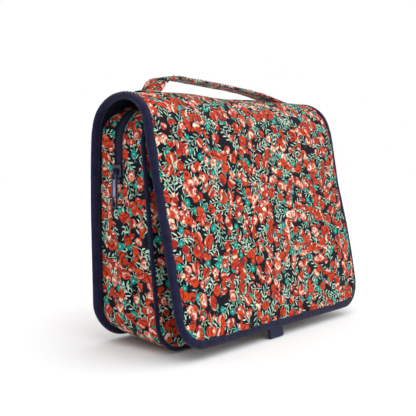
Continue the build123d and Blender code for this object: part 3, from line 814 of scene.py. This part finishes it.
COVER_PRINT = printed_cotton("berry print cover", 1.0, 0.35, (40, 12, 0))
BACK_PRINT = printed_cotton("berry print back", 1.0, 1.9, (310, 220, 0))
GUSSET_PRINT = printed_cotton("berry print gusset", 1.02, 1.2, (17, 330, 0))
POUCH_PRINT = printed_cotton("berry print pouch front", 1.02, 0.2, (430, 71, 0))
HANDLE_PRINT = printed_cotton("berry print handle", 0.9, 0.8, (72, 505, 0))
LINING = ribbed_tape("navy lining twill", LINING_NAVY, 0.5, 0.3, 0.0)
BINDING_TAPE = ribbed_tape("navy binding tape", BINDING_NAVY, 0.7, 0.5, 0.12)
ZIP_TAPE = ribbed_tape("navy zip tape", srgb(22, 24, 50), 0.55, 0.5, 0.08)
WEBBING = ribbed_tape("navy webbing", srgb(32, 34, 66), 1.1, 0.8, 0.2)
THREAD_NAVY = hard_material("navy thread", srgb(32, 34, 68), 0.7, 0.0, 4000, 0.3)
THREAD_RED = hard_material("dark red thread", srgb(120, 40, 46), 0.7, 0.0, 4000, 0.3)
COIL_NYLON = hard_material("navy nylon coil", srgb(26, 28, 54), 0.4, 0.0, 3000, 0.15)
DARK_METAL = hard_material("dark lacquered metal", srgb(66, 68, 92), 0.36, 0.85, 2500, 0.12, 0.4)
# light grey matte finish for the pull's web: a painted reflection of the metal pull's shiny web
PULL_WEB_PAINTED_REFLECTION = hard_material("pull web, painted grey reflection", srgb(140, 142, 168), 0.5, 0.0, 3000, 0.2)
HOOK_PLASTIC = hard_material("black moulded plastic", srgb(26, 27, 34), 0.42, 0.0, 1800, 0.25)


# ---------------------------------------------------------------- rows of stitches and teeth
def row_tree():
    """Small rounded beads repeated along a line: stitches along it, or zip teeth across it."""
    tree = bpy.data.node_groups.new("row of beads", "GeometryNodeTree")
    face = tree.interface
    face.new_socket("Geometry", in_out="INPUT", socket_type="NodeSocketGeometry")
    for label, value in (("Pitch", 4.0 * MM), ("Length", STITCH), ("Width", THREAD), ("Height", THREAD)):
        face.new_socket(label, in_out="INPUT", socket_type=FLOAT).default_value = value
    face.new_socket("Across", in_out="INPUT", socket_type="NodeSocketBool")
    face.new_socket("Finish", in_out="INPUT", socket_type="NodeSocketMaterial")
    face.new_socket("Geometry", in_out="OUTPUT", socket_type="NodeSocketGeometry")
    g = Wiring(tree)
    given = g.node("NodeGroupInput").outputs
    line = g.node("GeometryNodeMeshToCurve", {"Mesh": given["Geometry"]}).outputs[0]
    spaced = g.node("GeometryNodeResampleCurve", {"Curve": line, "Length": given["Pitch"]}, mode="LENGTH")
    bead = g.node("GeometryNodeMeshUVSphere", {"Segments": 8, "Rings": 5, "Radius": 1.0})
    size = g.node("ShaderNodeCombineXYZ", {"X": given["Width"], "Y": given["Height"], "Z": given["Length"]})
    shaped = g.node("GeometryNodeTransform", {"Geometry": bead.outputs["Mesh"], "Scale": size.outputs[0]})
    tangent = g.node("GeometryNodeInputTangent").outputs[0]
    across = g.node("ShaderNodeCombineXYZ", {"X": 0.0, "Y": 1.0, "Z": 0.0}).outputs[0]
    heading = g.node("GeometryNodeSwitch", input_type="VECTOR")
    g.feed(heading.inputs["Switch"], given["Across"])
    g.feed(heading.inputs["False"], tangent)
    g.feed(heading.inputs["True"], across)
    turned = g.node("FunctionNodeAlignRotationToVector", {"Vector": heading.outputs[0]}, axis="Z")
    placed = g.node("GeometryNodeInstanceOnPoints", {
        "Points": spaced.outputs[0], "Instance": shaped.outputs[0], "Rotation": turned.outputs[0]})
    real = g.node("GeometryNodeRealizeInstances", {"Geometry": placed.outputs[0]})
    smooth = g.node("GeometryNodeSetShadeSmooth", {"Geometry": real.outputs[0]})
    finish = g.node("GeometryNodeSetMaterial", {"Geometry": smooth.outputs[0], "Material": given["Finish"]})
    g.feed(g.node("NodeGroupOutput").inputs[0], finish.outputs[0])
    return tree


ROW = row_tree()


def bead_rows(name, lines, finish, pitch=STITCH + STITCH_GAP, length=STITCH, width=THREAD, height=THREAD,
              across=False):
    """One mesh of beads along several polylines."""
    verts, edges = [], []
    for line in lines:
        first = len(verts)
        verts += [tuple(p) for p in line]
        edges += [(first + i, first + i + 1) for i in range(len(line) - 1)]
    mesh = bpy.data.meshes.new(name)
    mesh.from_pydata(verts, edges, [])
    piece = bpy.data.objects.new(name, mesh)
    bpy.context.scene.collection.objects.link(piece)
    row = piece.modifiers.new("row", "NODES")
    row.node_group = ROW
    values = {"Pitch": pitch, "Length": length / 2, "Width": width, "Height": height, "Across": across,
              "Finish": finish}
    for socket in ROW.interface.items_tree:
        if socket.in_out == "INPUT" and socket.name in values:
            row[socket.identifier] = values[socket.name]
    apply_modifiers(piece)
    return piece


# ---------------------------------------------------------------- padded cover pieces
def tucked(s, depth, from_flap):
    """Depth with the lapped end of the front piece drawn in under the back piece."""
    if not from_flap or s <= SEAM_S:
        return depth
    return depth + (WALL / 2 - depth) * 0.3 * ease((s - SEAM_S) / (1.5 * MM))


def cover_pad(name, rows, corner, from_flap, outer_finish):
    """A padded panel of the cover, as rows of points from its lower edge upwards."""
    cols = round(2 * HALF_WIDTH / CLOTH_STEP)
    outer, inner, uv, pinned = [], [], [], []
    for i, up in enumerate(rows):
        half = outline_half(up, BINDING, corner)
        line = [half * (2 * j / cols - 1) for j in range(cols + 1)]
        s = up if from_flap else COVER_LENGTH - up
        outer.append([cover_point(x, s, tucked(s, 0.0, from_flap)) for x in line])
        inner.append([cover_point(x, s, tucked(s, WALL, from_flap)) for x in line])
        uv.append([(x, s) for x in line])
        sewn = BINDING_WIDTH - 1.5 * MM
        edge = i == 0 or i > len(rows) - 5
        pinned += [edge or up < sewn or half - abs(x) < sewn for x in line]
    piece = slab(name, outer, inner, uv, [outer_finish, LINING])
    puff(piece, pinned * 2, 3.0, 2.2 * MM, slack=0.012)
    soften(piece)
    return piece


flap_rows = edge_rows(BINDING, SEAM_S - 0.4 * MM, FLAP_CORNER, CLOTH_STEP)
flap_rows += [SEAM_S, SEAM_S + SEAM_LAP / 2, SEAM_S + SEAM_LAP]
flap_pad = cover_pad("flap_and_arch_pad", flap_rows, FLAP_CORNER, True, COVER_PRINT)
back_top = COVER_LENGTH - SEAM_S
back_rows = edge_rows(BINDING, back_top - 1 * MM, BACK_CORNER, CLOTH_STEP) + [back_top - 0.3 * MM, back_top]
back_pad = cover_pad("back_panel_pad", back_rows, BACK_CORNER, False, BACK_PRINT)


# ---------------------------------------------------------------- bound edges
BINDING_SECTION = (
    # (distance in from the edge, depth below the outer cloth) in millimetres, round the roll
    (6.6, 0.0), (6.4, -0.55), (5.6, -0.95), (3.9, -1.2), (2.1, -1.15), (0.6, -0.65), (-0.35, 0.4),
    (-0.6, 1.8), (-0.35, 3.2), (0.6, 4.25), (2.1, 4.75), (3.9, 4.8), (5.6, 4.55), (6.4, 4.15), (6.6, 3.6),
    (6.3, 1.8),
)


def edge_path(top, corner, step=3.5 * MM):
    """Panel edge from its upper left end round the lower corners to the upper right: (x, up) and inward."""
    half, path = HALF_WIDTH, []
    sides = max(2, round((top - corner) / step))
    bends = 14
    for i in range(sides):
        path.append((-half, top - (top - corner) * i / sides, 1.0, 0.0))
    for i in range(bends):
        a = math.pi / 2 * i / bends
        path.append((-half + corner - corner * math.cos(a), corner - corner * math.sin(a),
                     math.cos(a), math.sin(a)))
    flat = round((half - corner) / step)
    for i in range(flat + 1):
        path.append((-(half - corner) * (1 - i / flat), 0.0, 0.0, 1.0))
    mirrored = [(-x, up, -dx, dup) for x, up, dx, dup in reversed(path[:-1])]
    return path + mirrored


def path_lengths(points):
    total, lengths = 0.0, [0.0]
    for one, two in zip(points, points[1:]):
        total += (two - one).length
        lengths.append(total)
    return lengths


def bound_edge(name, top, corner, from_flap, seed):
    """The folded tape round a panel's edge, a little puckered by its stitching."""
    path = edge_path(top, corner)
    place = (lambda up: up) if from_flap else (lambda up: COVER_LENGTH - up)
    lengths = path_lengths([cover_point(x, place(up)) for x, up, dx, dup in path])
    rings, uv, outer_row, inner_row = [], [], [], []
    for (x, up, dx, dup), run in zip(path, lengths):

        def at(inward, depth):
            return cover_point(x + dx * inward, place(up + dup * inward), depth)

        pucker = 0.14 * math.sin(run / (1.5 * MM)) + 0.45 * ripple(run, seed, 0.015)
        lapped = 1 - 0.12 * ease((place(up) - SEAM_S) / (1.5 * MM)) if from_flap else 1.0
        ring = []
        for inward, depth in BINDING_SECTION:
            lift = pucker * MM * (0.4 + 0.6 * min(abs(inward) / 6.5, 1))
            inward = 3 + (inward - 3) * lapped
            depth = 1.8 + (depth - 1.8) * lapped
            ring.append(at(inward * MM, depth * MM + (-lift if depth < 1.8 else lift)))
        rings.append(ring)
        uv.append([(run, 1.2 * MM * j) for j in range(len(ring) + 1)])
        outer_row.append(at(5.2 * MM, -1.12 * MM))
        inner_row.append(at(5.2 * MM, WALL + 1.12 * MM))
    piece = tube(name, rings, uv, BINDING_TAPE)
    soften(piece)
    return piece, [outer_row, inner_row]


flap_binding, flap_lines = bound_edge("flap_binding_tape", SEAM_S + SEAM_LAP, FLAP_CORNER, True, 2.0)
back_binding, back_lines = bound_edge("back_binding_tape", back_top, BACK_CORNER, False, 9.0)
flap_stitches = bead_rows("flap_binding_stitches", flap_lines, THREAD_NAVY)
back_seam = [cover_point(HALF_WIDTH * 0.94 * (i / 30 - 1), SEAM_S + 2.5 * MM, -0.15 * MM) for i in range(61)]
back_stitches = bead_rows("back_binding_stitches", back_lines + [back_seam], THREAD_NAVY)


# ---------------------------------------------------------------- pouch front and its piping
def pouch_front_point(x, h, depth):
    """A point of the pouch front; h is the height up the outline, depth is behind the cloth."""
    y = front_y(h)
    z = height_at(h, y)
    full = bump(h, -0.35 * POUCH_HEIGHT, 1.05 * POUCH_HEIGHT) * (1 - (x / POUCH_HALF) ** 4)
    out = 2.6 * MM * full + 0.8 * MM * ripple(x, h, 0.045, 2.2) - depth
    return Vector((x, y - math.cos(POUCH_LEAN) * out, z + math.sin(POUCH_LEAN) * out))


def pouch_half(h, inset):
    """Half width of the pouch outline at a height, inset from the gusset cloth."""
    half = POUCH_HALF - inset
    low, high = POUCH_BOTTOM_CORNER - inset, POUCH_TOP_CORNER - inset
    up, down = h - inset, POUCH_HEIGHT - inset - h
    if up < low:
        return half - low + math.sqrt(max(low**2 - (low - up) ** 2, 0.0))
    if down < high:
        return half - high + math.sqrt(max(high**2 - (high - down) ** 2, 0.0))
    return half


def make_pouch_front():
    inset = 0.8 * MM
    low, high = POUCH_BOTTOM_CORNER, POUCH_TOP_CORNER
    rows = [inset + (low - inset) * (1 - math.cos(math.pi / 2 * i / 7)) for i in range(8)]
    middle = round((POUCH_HEIGHT - low - high) / CLOTH_STEP)
    rows += [low + (POUCH_HEIGHT - low - high) * i / middle for i in range(1, middle + 1)]
    rows += [POUCH_HEIGHT - inset - (high - inset) * (1 - math.sin(math.pi / 2 * i / 8)) for i in range(1, 9)]
    cols = round(2 * POUCH_HALF / CLOTH_STEP)
    outer, inner, uv, pinned = [], [], [], []
    for i, h in enumerate(rows):
        half = pouch_half(h, inset)
        line = [half * (2 * j / cols - 1) for j in range(cols + 1)]
        outer.append([pouch_front_point(x, h, 0.0) for x in line])
        inner.append([pouch_front_point(x, h, WALL) for x in line])
        uv.append([(x, h) for x in line])
        pinned += [i in (0, len(rows) - 1) or half - abs(x) < 1 * MM for x in line]
    piece = slab("pouch_front_pad", outer, inner, uv, [POUCH_PRINT, LINING])
    puff(piece, pinned * 2, 3.0, 2.5 * MM, slack=0.01)
    soften(piece)
    return piece


pouch_front = make_pouch_front()


def piping_ring(q, radius, sides=10):
    """Section of the piping round the pouch's front edge."""
    x, h, nx, nh = pouch_edge(q)
    y = front_y(h)
    centre = Vector((x, y, height_at(h, y))) + Vector((nx, 0, nh)) * -0.3 * MM
    centre.y += 0.5 * MM
    out, ahead = Vector((nx, 0, nh)), Vector((0, -1, 0))
    size = radius * (1 + 0.06 * ripple(q, 0.0, 0.012, 6.0))
    return [centre + (out * math.cos(a) + ahead * math.sin(a)) * size
            for a in (2 * math.pi * k / sides for k in range(sides))]


def make_piping():
    total = pouch_length()
    count = round(total / (3.5 * MM))
    rings = [piping_ring(total * i / count, 1.95 * MM) for i in range(count + 1)]
    uv = [[(total * i / count, 1.2 * MM * j) for j in range(11)] for i in range(count + 1)]
    piece = tube("pouch_piping", rings, uv, BINDING_TAPE)
    soften(piece)
    return piece


piping = make_piping()


# ---------------------------------------------------------------- gusset strips, seam bands and zip
def gusset_strip(name, q_of, y_of, rows, cols, lower=False, thick=1.1 * MM):
    """A strip of gusset cloth; q_of and y_of give outline length and Y from shares of the strip."""
    outer, inner, uv = [], [], []
    for i in range(rows + 1):
        t = i / rows
        line_out, line_in, line_uv = [], [], []
        for j in range(cols + 1):
            w = j / cols
            q_mid = q_of(t, INNER_Y * w + FOOT_Y * (1 - w))
            y = y_of(w, q_mid)
            q = q_of(t, y)
            rounded = thick * 0.35 if j in (0, cols) and not lower else 0.0
            line_out.append(gusset_point(q, y, rounded))
            line_in.append(gusset_point(q, y, thick - rounded))
            taken = folds_at(y / MM, height_at(pouch_edge(q)[1], y) / MM)[1] if lower else 0.0
            line_uv.append((y - taken, q))
        outer.append(line_out)
        inner.append(line_in)
        uv.append(line_uv)
    piece = slab(name, outer, inner, uv, [GUSSET_PRINT, LINING])
    soften(piece)
    return piece


def seam_q(y):
    """Outline length where the cross seam crosses the left side at this Y."""
    return left_side_q(SEAM_Z, y)


def lower_q(t, y):
    start = seam_q(y)
    return start * (1 - 2 * t)


def upper_q(t, y):
    start = seam_q(y)
    return start + (pouch_length() - 2 * start) * t


def edge_h(q):
    return pouch_edge(q)[1]


def spread(first, last):
    """Y across a strip between two edges given as functions of the outline length."""
    return lambda w, q: first(q) + (last(q) - first(q)) * w


gusset_lower = gusset_strip(
    "gusset_lower_cloth", lower_q, spread(lambda q: front_y(edge_h(q)), lambda q: back_y(edge_h(q))), 170, 44,
    lower=True,
)
gusset_front = gusset_strip(
    "gusset_top_front_cloth", upper_q,
    spread(lambda q: front_y(edge_h(q)), lambda q: ZIP_Y - ZIP_HALF_WINDOW), 96, 12,
)
gusset_rear = gusset_strip(
    "gusset_top_rear_cloth", upper_q,
    spread(lambda q: ZIP_Y + ZIP_HALF_WINDOW, lambda q: max(back_y(edge_h(q)), ZIP_Y + 6.5 * MM)), 96, 4,
)


def band_strip(name, mirror):
    """The folded band sewn across the gusset over the zip's end."""
    outer, inner, uv = [], [], []
    rows, cols = 6, 18
    for i in range(rows + 1):
        z = BAND_LOW.z + (BAND_HIGH.z - BAND_LOW.z) * i / rows
        swell = 0.5 * MM * math.sin(math.pi * i / rows)
        line_out, line_in, line_uv = [], [], []
        for j in range(cols + 1):
            y = BAND_LOW.y - 2.2 * MM + (BAND_HIGH.y + 0.8 * MM - BAND_LOW.y + 2.2 * MM) * j / cols
            q = left_side_q(z, y)
            if mirror:
                q = -q
            line_out.append(gusset_point(q, y, -0.5 * MM - swell))
            line_in.append(gusset_point(q, y, 0.3 * MM))
            line_uv.append((y + 0.2, z))
        outer.append(line_out)
        inner.append(line_in)
        uv.append(line_uv)
    piece = slab(name, outer, inner, uv, [GUSSET_PRINT])
    soften(piece)
    return piece


bands = [band_strip("zip_end_band_left", False), band_strip("zip_end_band_right", True)]


def zip_line(y, depth, start_z, count=120):
    """Line along the zip at one Y, from the left end over the top to the right end."""
    first = left_side_q(start_z, y)
    total = pouch_length()
    return [gusset_point(first + (total - 2 * first) * i / count, y, depth) for i in range(count + 1)]


def tape_strip(name, near, far):
    """One woven zip tape, lying under the edge of the gusset cloth."""
    cols = 4
    ys = [near + (far - near) * j / cols for j in range(cols + 1)]
    lines_out = [zip_line(y, 1.25 * MM, BAND_LOW.z + 6 * MM) for y in ys]
    lines_in = [zip_line(y, 2.0 * MM, BAND_LOW.z + 6 * MM) for y in ys]
    outer, inner = list(map(list, zip(*lines_out))), list(map(list, zip(*lines_in)))
    runs = path_lengths([row[0] for row in outer])
    uv = [[(run, y) for y in ys] for run in runs]
    return slab(name, outer, inner, uv, [ZIP_TAPE])


tapes = [
    tape_strip("zip_tape_front_woven", ZIP_Y - 7 * MM, ZIP_Y - 0.25 * MM),
    tape_strip("zip_tape_rear_woven", ZIP_Y + 0.25 * MM, ZIP_Y + 7 * MM),
]
TOOTH_PITCH = 1.3 * MM
TOOTH_SETBACK = 1.05 * MM        # middle of a tooth from the zip's middle line
COIL_DEPTH = 0.95 * MM           # below the gusset cloth
TOPSTITCH_SETBACK = ZIP_HALF_WINDOW + 1.6 * MM
coil = bead_rows(
    "zip_coil_teeth",
    [zip_line(ZIP_Y - TOOTH_SETBACK, COIL_DEPTH, COIL_LOW.z, 200),
     zip_line(ZIP_Y + TOOTH_SETBACK, COIL_DEPTH, COIL_LOW.z + TOOTH_PITCH / 2, 200)],
    COIL_NYLON, pitch=TOOTH_PITCH, length=2.9 * MM, width=0.5 * MM, height=0.42 * MM, across=True,
)
zip_stitches = bead_rows(
    "zip_topstitches",
    [zip_line(ZIP_Y + side * TOPSTITCH_SETBACK, -0.1 * MM, BAND_HIGH.z) for side in (-1, 1)],
    THREAD_RED,
)


def band_rows(mirror):
    rows = []
    for z in (BAND_LOW.z + 4.6 * MM, BAND_LOW.z + 8.2 * MM):
        row = []
        for i in range(25):
            y = BAND_LOW.y + (BAND_HIGH.y - BAND_LOW.y) * i / 24
            q = left_side_q(z, y)
            row.append(gusset_point(-q if mirror else q, y, -0.95 * MM))
        rows.append(row)
    return rows


band_stitches = bead_rows("band_topstitches", band_rows(False) + band_rows(True), THREAD_RED)


# ---------------------------------------------------------------- handle strap
STRAP_HALF = (STRAP_HIGH.y - STRAP_LOW.y) / 2
STRAP_Y = (STRAP_HIGH.y + STRAP_LOW.y) / 2
STRAP_THICK = 2.4 * MM
LEFT, RIGHT = ENDS_LOW.x, ENDS_HIGH.x
STRAP_TOP = STRAP_HIGH.z - STRAP_THICK / 2
RISE = STRAP_TOP - RIDGE_Z
STRAP_ROUTE = (
    # (x, z) of the strap's middle line: flat sewn end, steep rise, slack span, flat sewn end
    (LEFT - 5 * MM, RIDGE_Z - 0.5 * MM),
    (LEFT + 3 * MM, RIDGE_Z),
    (LEFT + 7.5 * MM, RIDGE_Z + 0.4 * MM),
    (LEFT + 10.5 * MM, RIDGE_Z + 4.5 * MM),
    (LEFT + 15 * MM, RIDGE_Z + 0.72 * RISE),
    (LEFT + 24 * MM, RIDGE_Z + 0.95 * RISE),
    (LEFT + 37 * MM, RIDGE_Z + 1.02 * RISE),
    (LEFT + 61 * MM, RIDGE_Z + 0.98 * RISE),
    (LEFT + 90 * MM, RIDGE_Z + 0.93 * RISE),
    (LEFT + 131 * MM, RIDGE_Z + 0.79 * RISE),
    (LEFT + 155 * MM, RIDGE_Z + 0.60 * RISE),
    (LEFT + 178 * MM, RIDGE_Z + 0.30 * RISE),
    (RIGHT - 7 * MM, RIDGE_Z + 2.2 * MM),
    (RIGHT, RIDGE_Z + 1.9 * MM),
)


def smooth_route(points, count):
    """Even points on the smooth curve through a few places."""
    data = bpy.data.curves.new("route", "CURVE")
    data.dimensions = "3D"
    data.resolution_u = 24
    spline = data.splines.new("NURBS")
    spline.points.add(len(points) - 1)
    for point, (x, z) in zip(spline.points, points):
        point.co = (x, 0, z, 1)
    spline.order_u = 3
    spline.use_endpoint_u = True
    holder = bpy.data.objects.new("route", data)
    mesh = bpy.data.meshes.new_from_object(holder)
    line = [v.co.copy() for v in mesh.vertices]
    bpy.data.objects.remove(holder)
    runs = path_lengths(line)
    even = []
    for i in range(count + 1):
        want = runs[-1] * i / count
        k = max(0, min(len(runs) - 2, int(np.searchsorted(runs, want)) - 1))
        t = (want - runs[k]) / max(runs[k + 1] - runs[k], 1e-9)
        even.append(line[k].lerp(line[k + 1], min(max(t, 0), 1)))
    return even


def strap_frame(line, i):
    """A place on the strap's middle line and the direction that is up from it."""
    one, two = line[max(i - 1, 0)], line[min(i + 1, len(line) - 1)]
    ahead = (two - one).normalized()
    return line[i], Vector((-ahead.z, 0, ahead.x))


def strap_point(line, i, across, lift):
    """A point of the strap: across from -1 to 1 of its width, lift above its middle line."""
    middle, up = strap_frame(line, i)
    run = i / (len(line) - 1)
    riser = bump(run, 0.045, 0.23)
    folds = 1.25 * MM * math.sin(run * 205 + across * 0.9) * riser * (0.45 - 0.55 * across)
    folds += 0.4 * MM * ripple(run * 0.22, across * 0.01, 0.012, 3.3)
    cup = -0.9 * MM * across * across * bump(run, 0.02, 0.98)
    span = ease((run - 0.16) / 0.12) * ease((0.97 - run) / 0.12)
    tilt = 0.7 * MM * across * span
    lean = -1.6 * MM * across * riser
    y = STRAP_Y + across * STRAP_HALF * (1 - 0.08 * riser)
    drape = -3.2 * MM * (1 - ease(run / 0.07)) * (across * STRAP_HALF / (18 * MM)) ** 2
    drape -= 2.6 * MM * ease((run - 0.94) / 0.06) * (across * STRAP_HALF / (18 * MM)) ** 2
    return middle + up * (lift + folds + cup + tilt) + Vector((lean, y, drape))


STRAP_SECTION = (
    # (share across, share of the thickness) round the folded strap
    (-1.0, 0.0), (-0.97, 0.42), (-0.82, 0.5), (-0.5, 0.56), (0.0, 0.6), (0.5, 0.56), (0.82, 0.5),
    (0.97, 0.42), (1.0, 0.0), (0.97, -0.42), (0.82, -0.5), (0.5, -0.54), (0.0, -0.56), (-0.5, -0.54),
    (-0.82, -0.5), (-0.97, -0.42),
)


def make_strap():
    line = smooth_route(STRAP_ROUTE, 120)
    rings = [[strap_point(line, i, a, t * STRAP_THICK) for a, t in STRAP_SECTION] for i in range(len(line))]
    runs = path_lengths(line)
    girth = [0.0]
    for one, two in zip(STRAP_SECTION, STRAP_SECTION[1:] + STRAP_SECTION[:1]):
        girth.append(girth[-1] + math.hypot((two[0] - one[0]) * STRAP_HALF, (two[1] - one[1]) * STRAP_THICK))
    piece = tube("handle_strap_cloth", rings, [[(run, g) for g in girth] for run in runs], HANDLE_PRINT)
    soften(piece)
    along = range(4, len(line) - 2)
    rows = [[strap_point(line, i, a, 0.58 * STRAP_THICK) for i in along] for a in (-0.84, 0.84)]
    for i in (5, 9, len(line) - 12, len(line) - 4):
        rows.append([strap_point(line, i, a / 10, 0.62 * STRAP_THICK) for a in range(-8, 9)])
    return piece, bead_rows("handle_topstitches", rows, THREAD_RED)


strap, strap_stitches = make_strap()


# ---------------------------------------------------------------- lifting tab
TAB_LENGTH = 6.6 * MM
TAB_ROOT = 3.2 * MM              # how far its leaves reach up into the binding
LEAF_OUT = 1.75 * MM             # outer face of a leaf from the tab's middle


def tab_profile():
    """Section of the folded loop: (distance down, distance out), one leaf, the fold, the other leaf."""
    leaf = []
    for k in range(9):
        down = -TAB_ROOT + (TAB_LENGTH - 1.0 * MM + TAB_ROOT) * k / 8
        leaf.append((down, LEAF_OUT - 0.35 * MM * (1 - k / 8)))
    fold = []
    for k in range(1, 7):
        a = math.pi / 2 - math.pi * k / 7
        fold.append((TAB_LENGTH - LEAF_OUT + LEAF_OUT * math.cos(a) + 0.75 * MM, LEAF_OUT * math.sin(a)))
    return leaf + fold + [(a, -b) for a, b in reversed(leaf)]


def make_tab():
    """Folded loop of webbing, its two leaves closing at the edge of the binding."""
    pivot = Vector(joint("tab_flex")["pos_m"])
    down = Vector((0, -math.sin(LEAN), -math.cos(LEAN)))
    half = (TAB_HIGH.x - TAB_LOW.x) / 2
    middle_x = (TAB_HIGH.x + TAB_LOW.x) / 2
    profile, count = tab_profile(), 12
    rings = []
    for i in range(count + 1):
        x = middle_x + half * (2 * i / count - 1)
        slump = 0.25 * MM * ripple(x, 0.0, 0.006, 9.0)
        base = Vector((x, 0, 0)) + Vector((0, pivot.y, pivot.z))
        rings.append([base + down * (a - 1.2 * MM) + FLAP_NORMAL * (b + slump) for a, b in profile])
    uv = [[(1.0 * MM * j, half * 2 * i / count) for j in range(len(profile) + 1)] for i in range(count + 1)]
    return tube("flap_tab_webbing", rings, uv, WEBBING)


tab = make_tab()


# ---------------------------------------------------------------- finishes of the pieces kept from the frame
def paint(node, material):
    mesh = frame["nodes"][node].data
    mesh.materials.clear()
    mesh.materials.append(material)


for node in ("zip_slider", "zip_pull", "zip_stops"):
    paint(node, DARK_METAL)
for node in ("hook_post", "hanging_hook"):
    paint(node, HOOK_PLASTIC)
# the pull's web gets the light grey painted reflection
paint("pull_insert", PULL_WEB_PAINTED_REFLECTION)


def make_hook_patch():
    """Square of webbing sewn to the lining under the hook's post."""
    low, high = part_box("hook_patch")
    pivot = Vector(joint("hook_swivel")["pos_m"])
    half = (high.x - low.x) / 2
    up = Vector((0, math.sin(LEAN), math.cos(LEAN)))
    cols = 12
    outer, inner, uv = [], [], []
    for i in range(cols + 1):
        outer.append([])
        inner.append([])
        uv.append([])
        for j in range(cols + 1):
            a, b = 2 * i / cols - 1, 2 * j / cols - 1
            edge = max(abs(a), abs(b)) ** 8
            place = Vector((a * half, pivot.y, pivot.z)) + up * (b * half)
            outer[-1].append(place - FLAP_NORMAL * (-0.1 * MM + 0.1 * MM * (1 - edge)))
            inner[-1].append(place + FLAP_NORMAL * 1.5 * MM)
            uv[-1].append((a * half, b * half))
    return slab("hook_patch_webbing", outer, inner, uv, [WEBBING])


hook_patch = make_hook_patch()


# ---------------------------------------------------------------- what each piece stands for and moves with
def carry(piece, body, slot, *nodes):
    if nodes:
        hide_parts(*nodes)
    if body:
        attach(piece, body)


carry(back_pad, "bag", "print_cloth", "back_panel", "back_foam", "back_lining")
carry(back_binding, "bag", "navy_binding", "back_binding")
carry(back_stitches, "bag", "navy_binding")
carry(pouch_front, "bag", "print_cloth", "front_panel", "front_foam", "front_lining")
carry(piping, "bag", "navy_binding", "front_piping")
carry(gusset_lower, "bag", "print_cloth", "gusset_lower", "gusset_lining")
carry(gusset_front, "bag", "print_cloth", "gusset_top_front")
carry(gusset_rear, "bag", "print_cloth", "gusset_top_rear")
for band in bands:
    carry(band, "bag", "print_cloth", "zip_end_bands")
carry(tapes[0], "bag", "zip_tape", "zip_tape_front")
carry(tapes[1], "bag", "zip_tape", "zip_tape_rear")
carry(coil, "bag", "zip_coil", "zip_coil_front", "zip_coil_rear")
carry(zip_stitches, "bag", "print_cloth")
carry(band_stitches, "bag", "print_cloth")
carry(hook_patch, "flap", "webbing", "hook_patch")
carry(tab, "tab", "webbing", "flap_tab")
carry(flap_pad, None, "print_cloth", "flap_panel", "flap_foam", "flap_lining")
carry(flap_binding, None, "navy_binding", "flap_binding")
carry(flap_stitches, None, "navy_binding")
carry(strap, None, "print_cloth", "handle_strap", "handle_ends")
carry(strap_stitches, None, "print_cloth")

for piece in (flap_pad, flap_binding, flap_stitches):
    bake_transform(piece)
for piece in (strap, strap_stitches):
    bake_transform(piece)


# ---------------------------------------------------------------- floor, light and camera
def make_floor():
    side = 6.0
    mesh = bpy.data.meshes.new("floor")
    ground = CAD_LOW.z - 0.6 * MM
    corners = [(x * side, y * side, ground) for x, y in ((-1, -1), (1, -1), (1, 1), (-1, 1))]
    mesh.from_pydata(corners, [], [(0, 1, 2, 3)])
    material = bpy.data.materials.new("pale floor")
    material.use_nodes = True
    g = Wiring(material.node_tree)
    surface = material.node_tree.nodes["Principled BSDF"]
    place = g.node("ShaderNodeTexCoord").outputs["Object"]
    cloud = g.node("ShaderNodeTexNoise", {"Vector": place, "Scale": 3.0}).outputs["Fac"]
    tone = g.ramp(cloud, [(0.2, (0.95, 0.95, 0.95)), (0.8, (0.97, 0.97, 0.97))])
    g.feed(surface.inputs["Base Color"], tone)
    surface.inputs["Roughness"].default_value = 0.95
    surface.inputs["Specular IOR Level"].default_value = 0.1
    mesh.materials.append(material)
    floor = bpy.data.objects.new("floor", mesh)
    bpy.context.scene.collection.objects.link(floor)


def make_studio():
    """White studio, dimmer on the bag's left so that its sides read darker than its front."""
    world = bpy.data.worlds.new("studio")
    bpy.context.scene.world = world
    world.use_nodes = True
    g = Wiring(world.node_tree)
    direction = g.node("ShaderNodeTexCoord").outputs["Generated"]
    left = g.vector("DOT_PRODUCT", direction, (-0.94, 0.3, -0.1))
    tone = g.ramp(g.math("MULTIPLY_ADD", left, 0.5, 0.5), [(0.5, (1, 1, 1)), (0.85, (0.5, 0.5, 0.52))])
    backdrop = world.node_tree.nodes["Background"]
    g.feed(backdrop.inputs["Color"], tone)
    backdrop.inputs["Strength"].default_value = 1.0
    softbox = bpy.data.lights.new("softbox", "SUN")
    softbox.energy = 1.15
    softbox.angle = math.radians(70)
    lamp = bpy.data.objects.new("softbox", softbox)
    lamp.rotation_euler = (math.radians(20), 0, 0)
    bpy.context.scene.collection.objects.link(lamp)
    bpy.context.scene.view_settings.view_transform = "Standard"


CAMERA_PLACE = (-0.5007, -0.3972, 0.1471)
CAMERA_YAW = math.radians(49.17)
CAMERA_PITCH = math.radians(-3.41)


def make_camera():
    data = bpy.data.cameras.new("camera")
    data.sensor_width = 36
    data.lens = 60.6
    camera = bpy.data.objects.new("camera", data)
    camera.location = CAMERA_PLACE
    level = math.cos(CAMERA_PITCH)
    look = Vector((math.sin(CAMERA_YAW) * level, math.cos(CAMERA_YAW) * level, math.sin(CAMERA_PITCH)))
    camera.rotation_euler = look.to_track_quat("-Z", "Y").to_euler()
    bpy.context.scene.collection.objects.link(camera)
    bpy.context.scene.camera = camera


make_floor()
make_studio()
make_camera()
